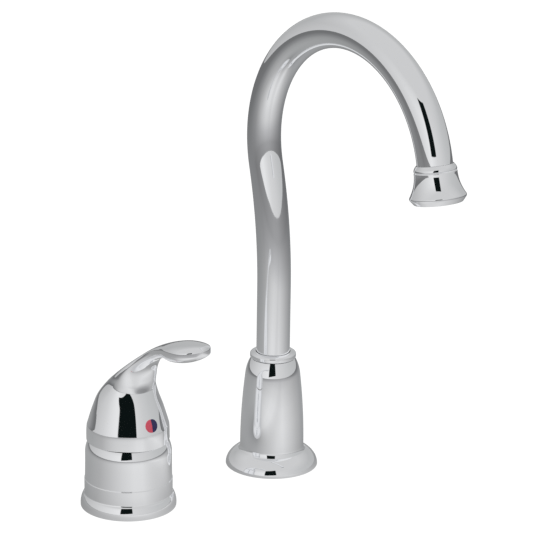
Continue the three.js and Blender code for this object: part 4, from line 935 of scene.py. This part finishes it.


# %% The table's painted shade and light
def painted_light_round_post(tree, place, post):
    """The painted shade and light at a place seen from a post at x = post: a ramp over log10 of the distance
    in metres, times a ramp over the azimuth."""
    between = put(tree, "ShaderNodeVectorMath", {0: place, 1: (post, 0, 0)}, operation="SUBTRACT")
    between = between.outputs["Vector"]
    far = put(tree, "ShaderNodeVectorMath", {0: between}, operation="LENGTH").outputs["Value"]
    decades = put(tree, "ShaderNodeMath", {0: far, 1: 10.0}, operation="LOGARITHM").outputs[0]
    # Painted shade right at each post's foot, a painted pool of light some 10 cm off, and grey from half a
    # metre on.
    painted_light_by_distance = ramp(tree, decades, [
        (-1.6, "#cccccc"), (-1.2, "#e3e3e3"), (-0.95, "#e9e9e9"), (-0.75, "#e6e6e6"), (-0.5, "#d8d8d8"),
        (-0.3, "#c0c0c1"), (0.0, "#a5a5a6"), (0.4, "#a0a0a1"), (0.8, "#a7a7a8")])
    # Painted light: brightest on the camera's side of each post and dimmer behind it.
    painted_light_by_side = ramp(tree, azimuth(tree, between), [
        (-180.0, "#b3b4b5"), (-150, "#b7b8b8"), (-104, "#bbbcbc"), (-68, "#c8c8c8"), (-39, "#dedede"),
        (-11, "#f2f2f2"), (15, "#ffffff"), (35, "#ffffff"), (60, "#ececec"), (90, "#d2d2d2"),
        (127, "#b6b7b8"), (180.0, "#b3b4b5")])
    return put(tree, "ShaderNodeMix", {"Factor": 1.0, "A": painted_light_by_distance, "B": painted_light_by_side}, data_type="RGBA",
               blend_type="MULTIPLY").outputs["Result"]


# %% Table paint
floor_paint, tree = new_material("white_table")
place = put(tree, "ShaderNodeTexCoord").outputs["Object"]
along = put(tree, "ShaderNodeSeparateXYZ", {"Vector": place}).outputs["X"]
which = put(tree, "ShaderNodeMapRange", {"Value": along, "From Min": -0.1, "From Max": 0.0},
            interpolation_type="SMOOTHSTEP")
# Painted shade and light, going over from the valve's post to the spout's between them.
shade = put(tree, "ShaderNodeMix", {
    "Factor": which.outputs["Result"], "A": painted_light_round_post(tree, place, -HOLE_SPACING * MM),
    "B": painted_light_round_post(tree, place, 0.0)}, data_type="RGBA")
print("table's tones", len(tree.nodes), "nodes")

# %% [markdown]
# As with the world, each kind of ray gets its own table: the camera sees white with a tenth of its real
# shade, mirrors see the glowing painted shade and light above, and all other light bounces off matt white
# paint.

# %% Who sees which table
ray = put(tree, "ShaderNodeLightPath")
twice = after_second_mirror(tree, ray, shade.outputs["Result"], along, left=-0.08, right=-0.04)
# The table glows with this painted shade and light, and only mirrors see it.
table = put(tree, "ShaderNodeEmission", {"Color": twice, "Strength": 1.0})
matt = put(tree, "ShaderNodeBsdfDiffuse", {"Color": linear("#f4f4f4")})
white = put(tree, "ShaderNodeEmission", {"Color": WHITE, "Strength": 1.1})
shaded_white = put(tree, "ShaderNodeMixShader", {0: 0.1, 1: white.outputs[0], 2: matt.outputs[0]})
metal_view = put(tree, "ShaderNodeMixShader", {0: ray.outputs["Is Glossy Ray"], 1: matt.outputs[0],
                                               2: table.outputs[0]})
floor_view = put(tree, "ShaderNodeMixShader", {0: ray.outputs["Is Camera Ray"], 1: metal_view.outputs[0],
                                               2: shaded_white.outputs[0]})
put(tree, "ShaderNodeOutputMaterial", {"Surface": floor_view.outputs[0]})
floor_mesh.materials.append(floor_paint)
print(floor_paint.name, len(tree.nodes), "nodes")

# %% [markdown]
# ## The lamp
# One broad soft lamp from the upper left gives the matt parts some shape. Mirrors don't see it, because the
# world already holds all that they show.

# %% Lamp
lamp_data = bpy.data.lights.new("softbox", "AREA")
lamp_data.size, lamp_data.energy = 0.9, 9.0
lamp = bpy.data.objects.new("softbox", lamp_data)
bpy.context.scene.collection.objects.link(lamp)
lamp.location = (-0.9, -0.6, 1.3)
lamp.rotation_euler = (math.radians(38), 0, math.radians(-56))
lamp.visible_glossy = False
print("lamp", lamp_data.energy, "W,", round(lamp_data.size, 2), "m wide")

# %% [markdown]
# ## The camera
# The photograph was taken from the left and a little above with a long lens: the two bases, a known
# distance apart, gave its place by fitting. Its three axes are written as columns of a matrix, which needs
# no angles but the pitch down and the slight roll.

# %% Camera
CAMERA_AT, PITCH, ROLL = (-0.9305, -1.1341, 0.5843), math.radians(17.643), math.radians(0.798)
SENSOR, LENS = 36.0, 185.06  # mm
camera_data = bpy.data.cameras.new("camera")
camera_data.sensor_width, camera_data.lens = SENSOR, LENS
camera = bpy.data.objects.new("camera", camera_data)
bpy.context.scene.collection.objects.link(camera)
right = np.array([-CAMERA_SIDE[1], CAMERA_SIDE[0], 0.0])
look = np.array([*(-CAMERA_SIDE * math.cos(PITCH)), -math.sin(PITCH)])
above = np.cross(right, look)
pose = np.eye(4)
pose[:3, 0] = right * math.cos(ROLL) + above * math.sin(ROLL)
pose[:3, 1] = above * math.cos(ROLL) - right * math.sin(ROLL)
pose[:3, 2], pose[:3, 3] = -look, CAMERA_AT
camera.matrix_world = Matrix(pose.tolist())
bpy.context.scene.camera = camera
bpy.context.scene.view_settings.view_transform = "Standard"
print("camera at", CAMERA_AT, "m, lens", LENS, "mm")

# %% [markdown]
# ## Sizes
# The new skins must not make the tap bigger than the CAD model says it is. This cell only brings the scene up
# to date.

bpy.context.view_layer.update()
